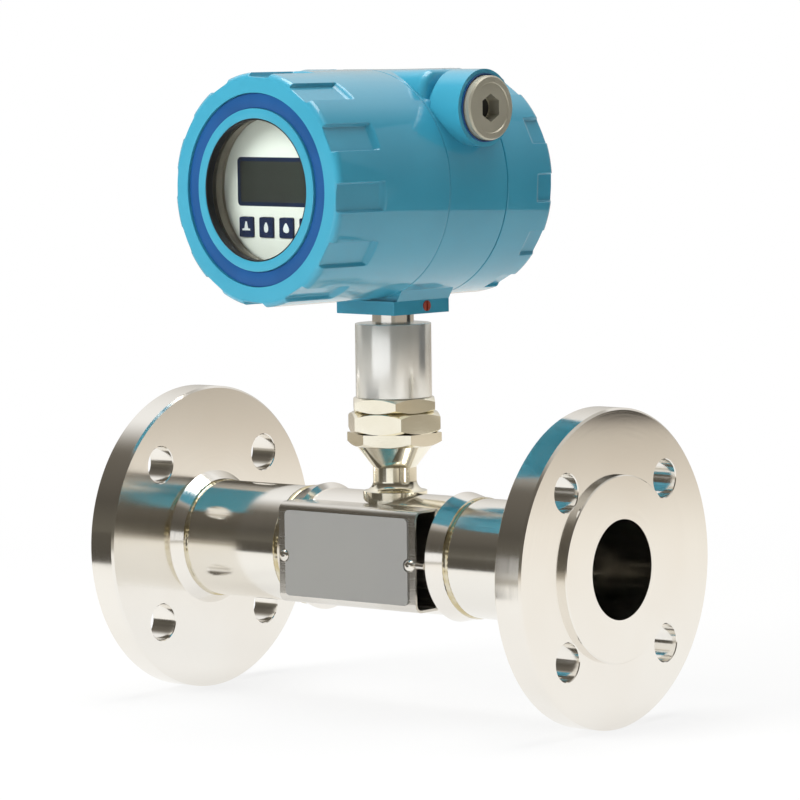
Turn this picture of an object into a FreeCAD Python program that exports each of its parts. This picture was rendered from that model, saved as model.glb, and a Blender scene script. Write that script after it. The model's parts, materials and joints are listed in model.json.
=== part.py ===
import FreeCAD, Part
import math
import os

# Turbine flow meter: a flanged stainless flow tube with a rotor cartridge,
# a pickup stem with a union nut, and a round display head with two screwed
# covers. All sizes are in millimetres.
# Frame: the origin is the centre of the inlet sealing face, +X runs with the
# flow along the pipe axis, +Z is up and the display looks towards -Y.

# --- flow tube ---------------------------------------------------------------
FACE_TO_FACE = 268.0
FLANGE_OD = 150.0
FLANGE_THICKNESS = 18.0  # raised face included
RAISED_FACE_HEIGHT = 3.0
RAISED_FACE_INSET = 2.0  # raised face to the bolt holes
BOLT_EDGE = 20.0  # rim to the bolt holes' centres
BOLT_COUNT = 4
BOLT_HOLE = 18.0
EDGE_CHAMFER = 1.0
HOLE_CHAMFER = 0.4
PIPE_OD = 57.0
PIPE_WALL = 5.0
HUB_LENGTH = 6.0  # weld hub behind each flange
HUB_RISE = 4.5

# --- centre body and rotor cartridge -----------------------------------------
BODY_HALF = 52.0
RING_RISE = 2.5  # raised ring over the pipe's outside
RING_BEVEL = 10.0
RING_FLANK = 2.5
ROTOR_BORE = 40.0
CARTRIDGE_STEP = 0.8  # shoulder that seats each straightener
ROTOR_ZONE_HALF = 9.0
CARTRIDGE_LENGTH = 32.0
SNAP_WIDTH = 1.6
SNAP_GROOVE_DEPTH = 1.0
ROTOR_HUB_OD = 16.0
ROTOR_LENGTH = 15.0
BLADE_COUNT = 6
BLADE_THICKNESS = 1.3
BLADE_ANGLE = 38.0  # degrees at the tip
BLADE_TIP_GAP = 0.4
SHAFT_DIAMETER = 4.0
BUSH_DIAMETER = 8.0
BUSH_LENGTH = 9.0
VANE_COUNT = 4
VANE_THICKNESS = 1.6
HUB_GAP = 0.5  # between rotor hub and straightener hub
RUNNING_FIT = 0.04
SLIP_FIT = 0.05
CLEAR = 0.15  # between pieces that are welded or bolted in place

# --- nameplate bracket --------------------------------------------------------
BRACKET_LEFT = 46.0  # reach from mid-length towards the inlet
BRACKET_RIGHT = 37.5
BRACKET_DROP = 4.2  # legs below the pipe's crown
BRACKET_STAND_OFF = 1.5  # front of the web ahead of the raised ring
BRACKET_SHEET = 1.2
BRACKET_BEND = 4.5
PLATE_MARGIN_END = 4.2
PLATE_MARGIN_TOP = 3.6
PLATE_SHEET = 0.8
RIVET_DIAMETER = 3.0
RIVET_HEAD = 6.0
RIVET_RISE = 2.0
STAY_DIAMETER = 3.2  # pin from the bracket to the body's ring
STAY_LENGTH = 4.5

# --- pickup stem ----------------------------------------------------------------
BOSS_DIAMETER = 21.0
BOSS_HEIGHT = 12.5  # above the pipe's crown
BOSS_FILLET = 5.0
CONE_HEIGHT = 10.5
CONE_TOP_OD = 37.0
BOSS_HEX = 40.0  # across flats
BOSS_HEX_HEIGHT = 6.2
UNION_HEX = 41.5
UNION_HEIGHT = 9.9
UNION_THREAD_OD = 30.0
UNION_LIP = 2.5
COLLAR_HEX = 38.6
COLLAR_HEIGHT = 7.1
NUT_TURN = 16.4  # degrees, where the union nut came to rest
SLEEVE_OD = 36.6
SLEEVE_HEIGHT = 35.6
SLEEVE_WALL = 3.0
NIPPLE_FLANGE_GAP = 2.5
NIPPLE_OD = 20.0
NIPPLE_BORE = 12.0
NECK_GAP = 5.0  # nipple seen between sleeve and head
PICKUP_OD = 16.0
PICKUP_WALL = 2.3  # metal left between pickup and bore
PICKUP_LENGTH = 46.0

# --- display content, which sets the size of the head --------------------------
LCD_WIDTH = 50.0
LCD_HEIGHT = 21.0
LCD_ABOVE_AXIS = 3.3
LCD_FRAME = 2.0
KEY_WIDTH = 9.0
KEY_HEIGHT = 9.4
KEY_PITCH = 13.2
KEY_BELOW_AXIS = 18.0
KEY_COUNT = 4
KEY_PROUD = 0.9
KEY_TRAVEL = 0.6
KEY_GAP = 0.2
PLATE_MARGIN = 1.75
PLATE_THICKNESS = 1.6
CAN_RIM = 5.0
CAN_LIP = 1.4  # rim ahead of the plate
CAN_DEPTH = 17.5
BOARD_THICKNESS = 1.6
MAIN_BOARD_BACK = 23.0  # ahead of the bulkhead
STANDOFF_DIAMETER = 6.0
STANDOFF_COUNT = 4

# --- head -------------------------------------------------------------------------
HEAD_TURN = -5.0  # degrees about the stem
CAN_CLEARANCE = 6.0
HEAD_WALL = 8.6
BARREL_FRONT = 17.0  # barrel ahead of the stem axis
BARREL_BACK = 22.9
THREAD_LENGTH = 15.0
THREAD_WALL = 5.6  # outside of the neck to outside of the head
NECK_WALL = 4.0
SCREW_FIT = 0.1
SEAM_GAP = 0.2
SEAM_CHAMFER = 0.5
BULKHEAD_FRONT = 15.0
BULKHEAD_THICKNESS = 4.0
BLOCK_SIZE = 38.0
BLOCK_HEIGHT = 6.6
BLOCK_SHOULDER = 7.0
COVER_CLEARANCE = 0.5
LOCK_SCREW = 5.0
LOCK_SCREW_BACK = 3.5  # behind the stem axis

# --- front and rear covers -----------------------------------------------------
FRONT_COVER_LENGTH = 74.5
REAR_COVER_LENGTH = 33.5
POCKET_COUNT = 12
POCKET_ANGLE = 14.0
POCKET_FIRST = -3.0
POCKET_DEPTH = 2.3
FRONT_POCKET = 33.0
REAR_POCKET = 14.5
RIM_ROUND = 2.0
REAR_CHAMFER = 3.8
REAR_WALL = 7.0
WINDOW_OPENING = 65.2
WINDOW_LINER = 0.6
BEZEL_WIDTH = 4.7
BEZEL_LIP = 3.2
COLOUR_RING_WIDTH = 7.2
COLOUR_RING_DEPTH = 1.2
COLOUR_RING_SHEET = 1.0
GASKET = 1.0
GLASS_THICKNESS = 5.0
GLASS_LAP = 4.2
RETAINER_WIDTH = 6.0
RETAINER_THICKNESS = 4.0
SEAL_SECTION = 1.7
SEAL_GROOVE = 2.0

# --- cable entries ------------------------------------------------------------
SADDLE_HALF = 36.5  # cast saddle that carries both cable bosses
SADDLE_WALL = 0.3  # saddle round the bosses' sides
SADDLE_ROUND = 9.5
SADDLE_END_ROUND = 4.0
NECK_GROOVE = 3.0  # depth of the neck behind each boss
NECK_GROOVE_LENGTH = 4.0
ENTRY_BOSS_OD = 36.6
ENTRY_BACK = 3.0  # behind the stem axis
ENTRY_REACH = 58.3
ENTRY_TAPPED = 18.5  # M20 x 1.5 tapping diameter
ENTRY_THREAD = 16.0
ENTRY_RELIEF = 21.0
ENTRY_RIM = 2.1  # wall left round the recess in the boss's end
ENTRY_RECESS = 1.6
PLUG_GAP = 1.0  # plug's head to the recess wall
PLUG_HEAD = 4.6
PLUG_SEAL = 1.4
PLUG_SOCKET = 11.6  # across flats
PLUG_SOCKET_DEPTH = 7.0
PLUG_SHANK = 12.0
TERMINAL_COUNT = 6
TERMINAL_PITCH = 8.2
TERMINAL_DEPTH = 15.0
TERMINAL_HEIGHT = 18.0
TERMINAL_SCREW = 4.6

# --- sizes that follow from the ones above ---------------------------------------
MIDDLE = FACE_TO_FACE / 2
PIPE_R = PIPE_OD / 2
BORE_R = PIPE_R - PIPE_WALL
FLANGE_BACK = FLANGE_THICKNESS + HUB_LENGTH
ROTOR_BORE_R = ROTOR_BORE / 2
CARTRIDGE_R = ROTOR_BORE_R + CARTRIDGE_STEP
CARTRIDGE_END = ROTOR_ZONE_HALF + CARTRIDGE_LENGTH
HUB_R = ROTOR_HUB_OD / 2
SHAFT_R = SHAFT_DIAMETER / 2
RING_R = PIPE_R + RING_RISE
BOLT_CIRCLE = FLANGE_OD - 2 * BOLT_EDGE
RAISED_R = (BOLT_CIRCLE - BOLT_HOLE) / 2 - RAISED_FACE_INSET
BRACKET_HALF_HEIGHT = PIPE_R - BRACKET_DROP
BRACKET_Y = -(RING_R + BRACKET_STAND_OFF)

CONE_FOOT_Z = PIPE_R + BOSS_HEIGHT
BOSS_HEX_Z = CONE_FOOT_Z + CONE_HEIGHT
UNION_Z = BOSS_HEX_Z + BOSS_HEX_HEIGHT
COLLAR_Z = UNION_Z + UNION_HEIGHT
SLEEVE_Z = COLLAR_Z + COLLAR_HEIGHT
SLEEVE_TOP = SLEEVE_Z + SLEEVE_HEIGHT
BLOCK_Z = SLEEVE_TOP + NECK_GAP
PICKUP_R = PICKUP_OD / 2
NIPPLE_R = NIPPLE_OD / 2

LCD_CORNER = math.hypot(LCD_WIDTH / 2 + LCD_FRAME, abs(LCD_ABOVE_AXIS) + LCD_HEIGHT / 2)
KEY_REACH = (KEY_COUNT - 1) * KEY_PITCH / 2 + KEY_WIDTH / 2
KEY_CORNER = math.hypot(KEY_REACH, KEY_BELOW_AXIS + KEY_HEIGHT / 2)
PLATE_R = max(LCD_CORNER, KEY_CORNER) + PLATE_MARGIN
CAN_R = PLATE_R + CAN_RIM
CAVITY_R = CAN_R + CAN_CLEARANCE
HEAD_R = CAVITY_R + HEAD_WALL
NECK_R = HEAD_R - THREAD_WALL
NECK_BORE_R = NECK_R - NECK_WALL
HEAD_Z = BLOCK_Z + BLOCK_HEIGHT + COVER_CLEARANCE + HEAD_R
COVER_FRONT = -(BARREL_FRONT + FRONT_COVER_LENGTH)
COVER_BACK = BARREL_BACK + REAR_COVER_LENGTH
WINDOW_R = WINDOW_OPENING / 2
LIP_R = WINDOW_R + WINDOW_LINER
GLASS_R = LIP_R + GLASS_LAP
RING_IN = LIP_R + BEZEL_WIDTH
RING_OUT = RING_IN + COLOUR_RING_WIDTH
GLASS_FRONT = COVER_FRONT + BEZEL_LIP + GASKET
GLASS_BACK = GLASS_FRONT + GLASS_THICKNESS
RETAINER_BACK = GLASS_BACK + RETAINER_THICKNESS
RETAINER_R = GLASS_R + 2.0
CAN_FRONT = RETAINER_BACK + 1.7
CAN_BACK = CAN_FRONT + CAN_DEPTH
PLATE_FRONT = CAN_FRONT + CAN_LIP
PLATE_BACK = PLATE_FRONT + PLATE_THICKNESS
CAN_FLOOR = 2.0
CAN_LEDGE = 1.2
MAIN_BOARD_FRONT = -(BULKHEAD_FRONT + MAIN_BOARD_BACK + BOARD_THICKNESS)
ENTRY_Z = HEAD_R - ENTRY_BOSS_OD / 2  # above the head axis: crowns level
ENTRY_RECESS_R = ENTRY_BOSS_OD / 2 - ENTRY_RIM
PLUG_HEAD_R = ENTRY_RECESS_R - PLUG_GAP
SEAL_R = (NECK_R + SCREW_FIT + HEAD_R) / 2 + SEAM_CHAMFER / 4


def vec(x, y, z):
    """Short name for a point or direction."""
    return FreeCAD.Vector(x, y, z)


ORIGIN = vec(0, 0, 0)
ALONG = {"x": vec(1, 0, 0), "y": vec(0, 1, 0), "z": vec(0, 0, 1)}


def station(axis, along, radius):
    """Point at a radius from an axis, in the half plane that a profile is drawn in."""
    if axis == "x":
        return vec(along, 0, radius)
    if axis == "y":
        return vec(radius, along, 0)
    return vec(radius, 0, along)


def face_of(points, place):
    """Flat face inside a closed run of stations. A pair of stations is an arc: through, to."""
    edges = []
    last = place(*points[0])
    for item in [*points[1:], points[0]]:
        if isinstance(item[0], tuple):
            through, end = place(*item[0]), place(*item[1])
            edges.append(Part.Arc(last, through, end).toShape())
        else:
            end = place(*item)
            edges.append(Part.LineSegment(last, end).toShape())
        last = end
    return Part.Face(Part.Wire(edges))


def turned(axis, points):
    """Solid of revolution about an axis from stations (along, radius)."""
    face = face_of(points, lambda along, radius: station(axis, along, radius))
    return face.revolve(ORIGIN, ALONG[axis], 360)


def tube(axis, start, end, outer, inner):
    """Plain ring or sleeve about an axis."""
    return turned(axis, [(start, inner), (end, inner), (end, outer), (start, outer)])


def rod(axis, start, end, radius, centre=(0, 0)):
    """Cylinder along an axis. centre is its place along the other two axes, in X, Y, Z order."""
    spot = {"x": (start, *centre), "y": (centre[0], start, centre[1]), "z": (*centre, start)}
    return Part.makeCylinder(radius, end - start, vec(*spot[axis]), ALONG[axis])


def block(x, y, z):
    """Box from three (low, high) pairs."""
    corner = vec(x[0], y[0], z[0])
    return Part.makeBox(x[1] - x[0], y[1] - y[0], z[1] - z[0], corner)


def polar(radius, degrees):
    """Plane coordinates of a point on a circle."""
    return radius * math.cos(math.radians(degrees)), radius * math.sin(math.radians(degrees))


def patterned(shape, axis, count, first=0.0):
    """Copies of a shape evenly spaced about an axis through the origin."""
    copies = []
    for index in range(count):
        copy = shape.copy()
        copy.rotate(ORIGIN, ALONG[axis], first + 360.0 * index / count)
        copies.append(copy)
    return copies


def joined(shapes):
    """One solid from overlapping ones."""
    return shapes[0].multiFuse(shapes[1:]).removeSplitter()


def cut_all(shape, tools):
    """A shape less each of the tools."""
    return shape.cut(Part.makeCompound(tools))


def hexagon(across, low, high, turn):
    """Hexagonal prism on the Z axis whose first corner stands at an angle."""
    radius = across / math.sqrt(3)
    corners = [vec(*polar(radius, turn + 60 * side), low) for side in range(7)]
    return Part.Face(Part.makePolygon(corners)).extrude(vec(0, 0, high - low))


def nut_blank(across, low, high, turn, chamfer_low=True, chamfer_high=True):
    """Hexagon with its corners turned off at thirty degrees, as on a nut."""
    corner = across / math.sqrt(3) + 0.2
    flat = across / 2 - 0.3
    drop = (corner - flat) * math.tan(math.radians(30))
    foot = [(low, flat), (low + drop, corner)] if chamfer_low else [(low, corner)]
    crown = [(high - drop, corner), (high, flat)] if chamfer_high else [(high, corner)]
    envelope = turned("z", [(low, 0), *foot, *crown, (high, 0)])
    return hexagon(across, low, high, turn).common(envelope)


# --- flow tube pieces ---------------------------------------------------------------


def at_middle(shape):
    """Moves a piece drawn about mid-length into the row's frame."""
    shape = shape.copy()
    shape.translate(vec(MIDDLE, 0, 0))
    return shape


def towards_inlet(shape):
    """The mirror piece on the inlet side of mid-length."""
    return shape.mirror(ORIGIN, ALONG["x"])


def outlet_flange():
    """Raised-face flange with its weld hub, drawn about mid-length."""
    face = MIDDLE
    rim = face - RAISED_FACE_HEIGHT
    back = face - FLANGE_THICKNESS
    hub_end = back - HUB_LENGTH
    outer = FLANGE_OD / 2
    raised = RAISED_R
    solid = turned("x", [
        (hub_end, BORE_R), (face, BORE_R), (face, raised - EDGE_CHAMFER / 2),
        (face - EDGE_CHAMFER / 2, raised), (rim, raised), (rim, outer - EDGE_CHAMFER),
        (rim - EDGE_CHAMFER, outer), (back + EDGE_CHAMFER, outer), (back, outer - EDGE_CHAMFER),
        (back, PIPE_R + HUB_RISE), (hub_end, PIPE_R),
    ])
    hole = turned("x", [
        (back - 1, 0), (back - 1, BOLT_HOLE / 2 + HOLE_CHAMFER + 1), (back + HOLE_CHAMFER, BOLT_HOLE / 2),
        (rim - HOLE_CHAMFER, BOLT_HOLE / 2), (rim + 1, BOLT_HOLE / 2 + HOLE_CHAMFER + 1), (rim + 1, 0),
    ])
    hole.translate(vec(0, 0, BOLT_CIRCLE / 2))
    return cut_all(solid, patterned(hole, "x", BOLT_COUNT, 180.0 / BOLT_COUNT))


def outlet_pipe():
    """Spool between the centre body and the flange hub."""
    return tube("x", BODY_HALF, MIDDLE - FLANGE_BACK, PIPE_R, BORE_R)


def body_profile():
    """Outside of the centre body, from mid-length outwards."""
    crest = BODY_HALF - RING_BEVEL
    return [(crest - RING_FLANK, PIPE_R), (crest, RING_R), (BODY_HALF, PIPE_R)]


def body_outside(skin):
    """Solid envelope of the centre body, grown by a skin."""
    right = [(along, radius + skin) for along, radius in body_profile()]
    left = [(-along, radius) for along, radius in reversed(right)]
    return turned("x", [(-BODY_HALF, 0), *left, *right, (BODY_HALF, 0)])


def centre_body():
    """Turned body with a raised ring at each end, stepped bore and the pickup's blind pocket."""
    solid = body_outside(0)
    groove_in = CARTRIDGE_END
    groove_out = groove_in + SNAP_WIDTH
    mouth = groove_out + 1.5
    half_bore = turned("x", [
        (0, 0), (0, ROTOR_BORE_R), (ROTOR_ZONE_HALF, ROTOR_BORE_R), (ROTOR_ZONE_HALF, CARTRIDGE_R),
        (groove_in, CARTRIDGE_R), (groove_in, CARTRIDGE_R + SNAP_GROOVE_DEPTH),
        (groove_out, CARTRIDGE_R + SNAP_GROOVE_DEPTH), (groove_out, CARTRIDGE_R),
        (mouth, CARTRIDGE_R), (BODY_HALF, BORE_R), (BODY_HALF + 1, BORE_R), (BODY_HALF + 1, 0),
    ])
    pocket = rod("z", ROTOR_BORE_R + PICKUP_WALL, PIPE_R + 1, PICKUP_R + SLIP_FIT)
    return cut_all(solid, [half_bore, towards_inlet(half_bore), pocket])


def helical_blade():
    """One rotor blade: radial sections turned along the hub and lofted into a twisted surface."""
    half = ROTOR_LENGTH / 2 - 1.0
    root = HUB_R - 1.0
    tip = ROTOR_BORE_R - BLADE_TIP_GAP
    twist = math.degrees(2 * half * math.tan(math.radians(BLADE_ANGLE)) / tip)
    skin = BLADE_THICKNESS / math.cos(math.radians(BLADE_ANGLE)) / 2
    tip_skin = skin * 0.7
    sections = []
    for step in range(5):
        share = step / 4
        along = -half + 2 * half * share
        corners = [vec(along, -skin, root), vec(along, skin, root)]
        corners += [vec(along, tip_skin, tip), vec(along, -tip_skin, tip)]
        wire = Part.makePolygon([*corners, corners[0]])
        wire.rotate(ORIGIN, ALONG["x"], twist * (share - 0.5))
        sections.append(wire)
    return Part.makeLoft(sections, True)


def rotor():
    """Hub with helical blades, bored for the shaft."""
    half = ROTOR_LENGTH / 2
    hub = turned("x", [
        (-half, 0), (-half, HUB_R - 1), (-half + 1, HUB_R), (half - 1, HUB_R), (half, HUB_R - 1), (half, 0),
    ])
    wheel = joined([hub, *patterned(helical_blade(), "x", BLADE_COUNT)])
    return wheel.cut(rod("x", -half - 1, half + 1, SHAFT_R + 0.02))


def rotor_shaft():
    """Hard shaft that runs in the two bushes."""
    half = ROTOR_LENGTH / 2 + HUB_GAP + BUSH_LENGTH - 1.2
    tip = 0.6
    return turned("x", [
        (-half, 0), (-half, SHAFT_R - tip), (-half + tip, SHAFT_R), (half - tip, SHAFT_R),
        (half, SHAFT_R - tip), (half, 0),
    ])


def outlet_straightener():
    """Hub with radial vanes; it carries the bush and seats against the bore's shoulder."""
    start = ROTOR_LENGTH / 2 + HUB_GAP
    seat = ROTOR_ZONE_HALF + SLIP_FIT
    nose = CARTRIDGE_END - 1.0
    straight = nose - 2 * HUB_R * 0.8
    hub = turned("x", [
        (start, 0), (start, HUB_R), (straight, HUB_R),
        ((straight + (nose - straight) * 0.72, HUB_R * 0.66), (nose, 0)),
    ])
    outer = CARTRIDGE_R - 2 * SLIP_FIT
    root = HUB_R - 0.8
    end = CARTRIDGE_END - 0.02
    sweep = 5.0
    blank = face_of(
        [(seat, root), (seat, outer), (end, outer), (end, outer - 4), (straight + sweep, root)],
        lambda along, radius: vec(along, -VANE_THICKNESS / 2, radius),
    ).extrude(vec(0, VANE_THICKNESS, 0))
    vanes = patterned(blank, "x", VANE_COUNT, 180.0 / VANE_COUNT)
    body = joined([hub, *vanes])
    return body.cut(rod("x", start - 1, start + BUSH_LENGTH, BUSH_DIAMETER / 2 + 0.02))


def outlet_bush():
    """Blind bearing bush in the straightener's hub, a running fit on the shaft."""
    start = ROTOR_LENGTH / 2 + HUB_GAP
    end = start + BUSH_LENGTH
    solid = rod("x", start, end, BUSH_DIAMETER / 2)
    return solid.cut(rod("x", start - 1, end - 1.0, SHAFT_R + RUNNING_FIT))


def outlet_retaining_ring():
    """Snap ring in the groove outside the straightener, open by a gap for the pliers."""
    start = CARTRIDGE_END + 0.05
    outer = CARTRIDGE_R + SNAP_GROOVE_DEPTH - 0.1
    ring = tube("x", start, start + SNAP_WIDTH - 0.1, outer, CARTRIDGE_R - 1.9)
    gap = block((start - 1, start + SNAP_WIDTH + 1), (-4, 4), (-outer - 1, -CARTRIDGE_R + 4))
    return ring.cut(gap)


# --- nameplate ----------------------------------------------------------------------


def bracket_section(skin):
    """C-section of the bracket in the Y-Z plane, offset inwards by a skin."""
    half = BRACKET_HALF_HEIGHT - skin
    front = BRACKET_Y + skin
    bend = BRACKET_BEND - skin
    corner = bend * (1 - math.sqrt(0.5))
    return [
        (0, -half), (front + bend, -half), ((front + corner, -half + corner), (front, -half + bend)),
        (front, half - bend), ((front + corner, half - corner), (front + bend, half)), (0, half),
    ]


def nameplate_bracket():
    """Bent sheet that stands ahead of the tube; its legs are shaped to the tube and welded."""
    length = BRACKET_LEFT + BRACKET_RIGHT

    def extruded(points, start, run):
        face = face_of(points, lambda y, z: vec(start, y, z))
        return face.extrude(vec(run, 0, 0))

    outer = extruded(bracket_section(0), -BRACKET_LEFT, length)
    inner = extruded(bracket_section(BRACKET_SHEET), -BRACKET_LEFT - 1, length + 2)
    boss_foot = rod("z", 0, BRACKET_HALF_HEIGHT + 1, BOSS_DIAMETER / 2 + BOSS_FILLET + CLEAR)
    sheet = cut_all(outer, [inner, body_outside(CLEAR), boss_foot])
    front_half = block((-BRACKET_LEFT - 1, BRACKET_RIGHT + 1), (BRACKET_Y - 1, -1), (-PIPE_OD, PIPE_OD))
    stay_at = (BRACKET_Y + STAY_DIAMETER / 2, rivet_places()[1][1])
    stay = rod("x", BRACKET_RIGHT - BRACKET_SHEET, BRACKET_RIGHT + STAY_LENGTH, STAY_DIAMETER / 2, stay_at)
    holes = [rivet_hole(place) for place in rivet_places()]
    bracket = joined([sheet.common(front_half), stay.cut(body_outside(CLEAR))])
    return cut_all(bracket, holes)


def rivet_places():
    """Places of the two plate fasteners, from mid-length."""
    inset = RIVET_HEAD / 2 + 0.4
    return [(-BRACKET_LEFT + inset, -1.5), (BRACKET_RIGHT - inset, -1.5)]


def rivet_hole(place):
    """Hole through web and plate for one fastener."""
    return rod("y", BRACKET_Y - 2, -PIPE_R, RIVET_DIAMETER / 2 + 0.05, place)


def nameplate():
    """Plain plate on the web, cut back at its ends round the fasteners."""
    low, high = -BRACKET_LEFT + PLATE_MARGIN_END, BRACKET_RIGHT - PLATE_MARGIN_END
    top = BRACKET_HALF_HEIGHT - PLATE_MARGIN_TOP
    plate = block((low, high), (BRACKET_Y - PLATE_SHEET, BRACKET_Y), (-top, top))
    corners = [edge for edge in plate.Edges if abs(edge.tangentAt(edge.FirstParameter).y) > 0.99]
    plate = plate.makeFillet(2.5, corners)
    reliefs = [rod("y", BRACKET_Y - 2, 0, RIVET_HEAD / 2 + 0.3, place) for place in rivet_places()]
    return cut_all(plate, reliefs)


def nameplate_screw(place):
    """Round-headed stud from the web to just short of the tube."""
    head = RIVET_HEAD / 2
    rise = RIVET_RISE
    depth = abs(BRACKET_Y) - PIPE_R
    stud = turned("y", [
        (-rise, 0), ((-rise * 0.7, head * 0.7), (0, head)), (0, RIVET_DIAMETER / 2),
        (depth, RIVET_DIAMETER / 2), (depth, 0),
    ])
    stud.translate(vec(place[0], BRACKET_Y, place[1]))
    return stud.cut(body_outside(CLEAR))


# --- pickup stem --------------------------------------------------------------------


def pickup_boss():
    """Welded boss: flared foot, shank, cone, hexagon and the union's male thread."""
    shank = BOSS_DIAMETER / 2
    foot = PIPE_R + 1.0
    flare = shank + BOSS_FILLET
    bend = BOSS_FILLET * (1 - math.sqrt(0.5))
    lower = turned("z", [
        (PIPE_R / 2, 0), (PIPE_R / 2, flare), (foot, flare),
        ((foot + bend, shank + bend), (foot + BOSS_FILLET, shank)),
        (CONE_FOOT_Z, shank), (BOSS_HEX_Z, CONE_TOP_OD / 2), (BOSS_HEX_Z + 1, CONE_TOP_OD / 2),
        (BOSS_HEX_Z + 1, 0),
    ])
    hexed = nut_blank(BOSS_HEX, BOSS_HEX_Z, UNION_Z - 0.02, NUT_TURN + 12, chamfer_high=False)
    thread = rod("z", UNION_Z - 1, union_flange_z() - 0.02, UNION_THREAD_OD / 2)
    bore = rod("z", 0, UNION_Z + UNION_HEIGHT, PICKUP_R + SLIP_FIT)
    pipe = rod("x", -BODY_HALF, BODY_HALF, PIPE_R + SLIP_FIT)
    return cut_all(joined([lower, hexed, thread]), [pipe, bore])


def union_flange_z():
    """Level of the seat under the collar's flange."""
    return COLLAR_Z - UNION_LIP - 1.5


def union_nut():
    """Hexagon nut that draws the collar's flange onto the boss."""
    blank = nut_blank(UNION_HEX, UNION_Z, COLLAR_Z - 0.02, NUT_TURN)
    lip_z = COLLAR_Z - UNION_LIP
    bore = turned("z", [
        (UNION_Z - 1, 0), (UNION_Z - 1, UNION_THREAD_OD / 2 + SCREW_FIT),
        (lip_z, UNION_THREAD_OD / 2 + SCREW_FIT), (lip_z, UNION_THREAD_OD / 2 - 2),
        (COLLAR_Z + 1, UNION_THREAD_OD / 2 - 2), (COLLAR_Z + 1, 0),
    ])
    return blank.cut(bore)


def stem_collar():
    """Hexagon collar with the flange that the union nut holds."""
    blank = nut_blank(COLLAR_HEX, COLLAR_Z, SLEEVE_Z - 0.02, NUT_TURN - 6)
    spigot = rod("z", union_flange_z(), COLLAR_Z + 1, UNION_THREAD_OD / 2 - 2.1)
    flange = rod("z", union_flange_z(), COLLAR_Z - UNION_LIP - 0.02, UNION_THREAD_OD / 2 - 0.1)
    bore = rod("z", UNION_Z, SLEEVE_Z + 1, PICKUP_R + 1.0)
    return joined([blank, spigot, flange]).cut(bore)


def stem_sleeve():
    """Plain tube round the nipple."""
    outer = SLEEVE_OD / 2
    inner = outer - SLEEVE_WALL
    return turned("z", [
        (SLEEVE_Z, inner), (SLEEVE_TOP, inner), (SLEEVE_TOP, outer - 0.5), (SLEEVE_TOP - 0.5, outer),
        (SLEEVE_Z, outer),
    ])


def sleeve_ring():
    """Ring let into the top of the sleeve, over the nipple's flange."""
    outer = SLEEVE_OD / 2 - SLEEVE_WALL - SLIP_FIT
    return tube("z", SLEEVE_TOP - SLEEVE_WALL, SLEEVE_TOP, outer, NIPPLE_R + SLIP_FIT)


def neck_nipple():
    """Hollow threaded nipple: a flange under the sleeve's ring, the thread in the neck block."""
    lid = SLEEVE_TOP - SLEEVE_WALL
    top = BLOCK_Z + neck_socket() - 1.0
    bore = NIPPLE_BORE / 2
    flange = SLEEVE_OD / 2 - SLEEVE_WALL - NIPPLE_FLANGE_GAP
    return turned("z", [
        (lid - 8, bore), (top, bore), (top, NIPPLE_R - 1), (top - 1, NIPPLE_R), (lid - 0.02, NIPPLE_R),
        (lid - 0.02, flange), (lid - 4, flange), (lid - 4, NIPPLE_R), (lid - 8, NIPPLE_R),
    ])


def neck_socket():
    """Depth of the neck block's threaded socket, up to the floor of the head's cavity."""
    return BLOCK_HEIGHT + COVER_CLEARANCE + HEAD_R - NECK_BORE_R


def pickup_coil():
    """Magnetic pickup: threaded body down to the blind pocket, with a slim plug top."""
    tip = ROTOR_BORE_R + PICKUP_WALL + 0.1
    top = tip + PICKUP_LENGTH
    neck = 7.0
    return turned("z", [
        (tip, 0), (tip, PICKUP_R - 1), (tip + 1, PICKUP_R), (top - neck, PICKUP_R),
        (top - neck, PICKUP_R - 2), (top, PICKUP_R - 2), (top, 0),
    ])


# --- head: drawn with its own axis along Y, above the stem at the origin --------------------


def on_stem(shape):
    """Turns a piece of the head about the stem and lifts it into place."""
    shape = shape.copy()
    shape.rotate(ORIGIN, ALONG["z"], HEAD_TURN)
    shape.translate(vec(MIDDLE, 0, HEAD_Z))
    return shape


def on_ring(radius, count, first):
    """Places evenly round the head's axis, as (across, up) pairs."""
    return [polar(radius, first + 360.0 * index / count) for index in range(count)]


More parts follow.
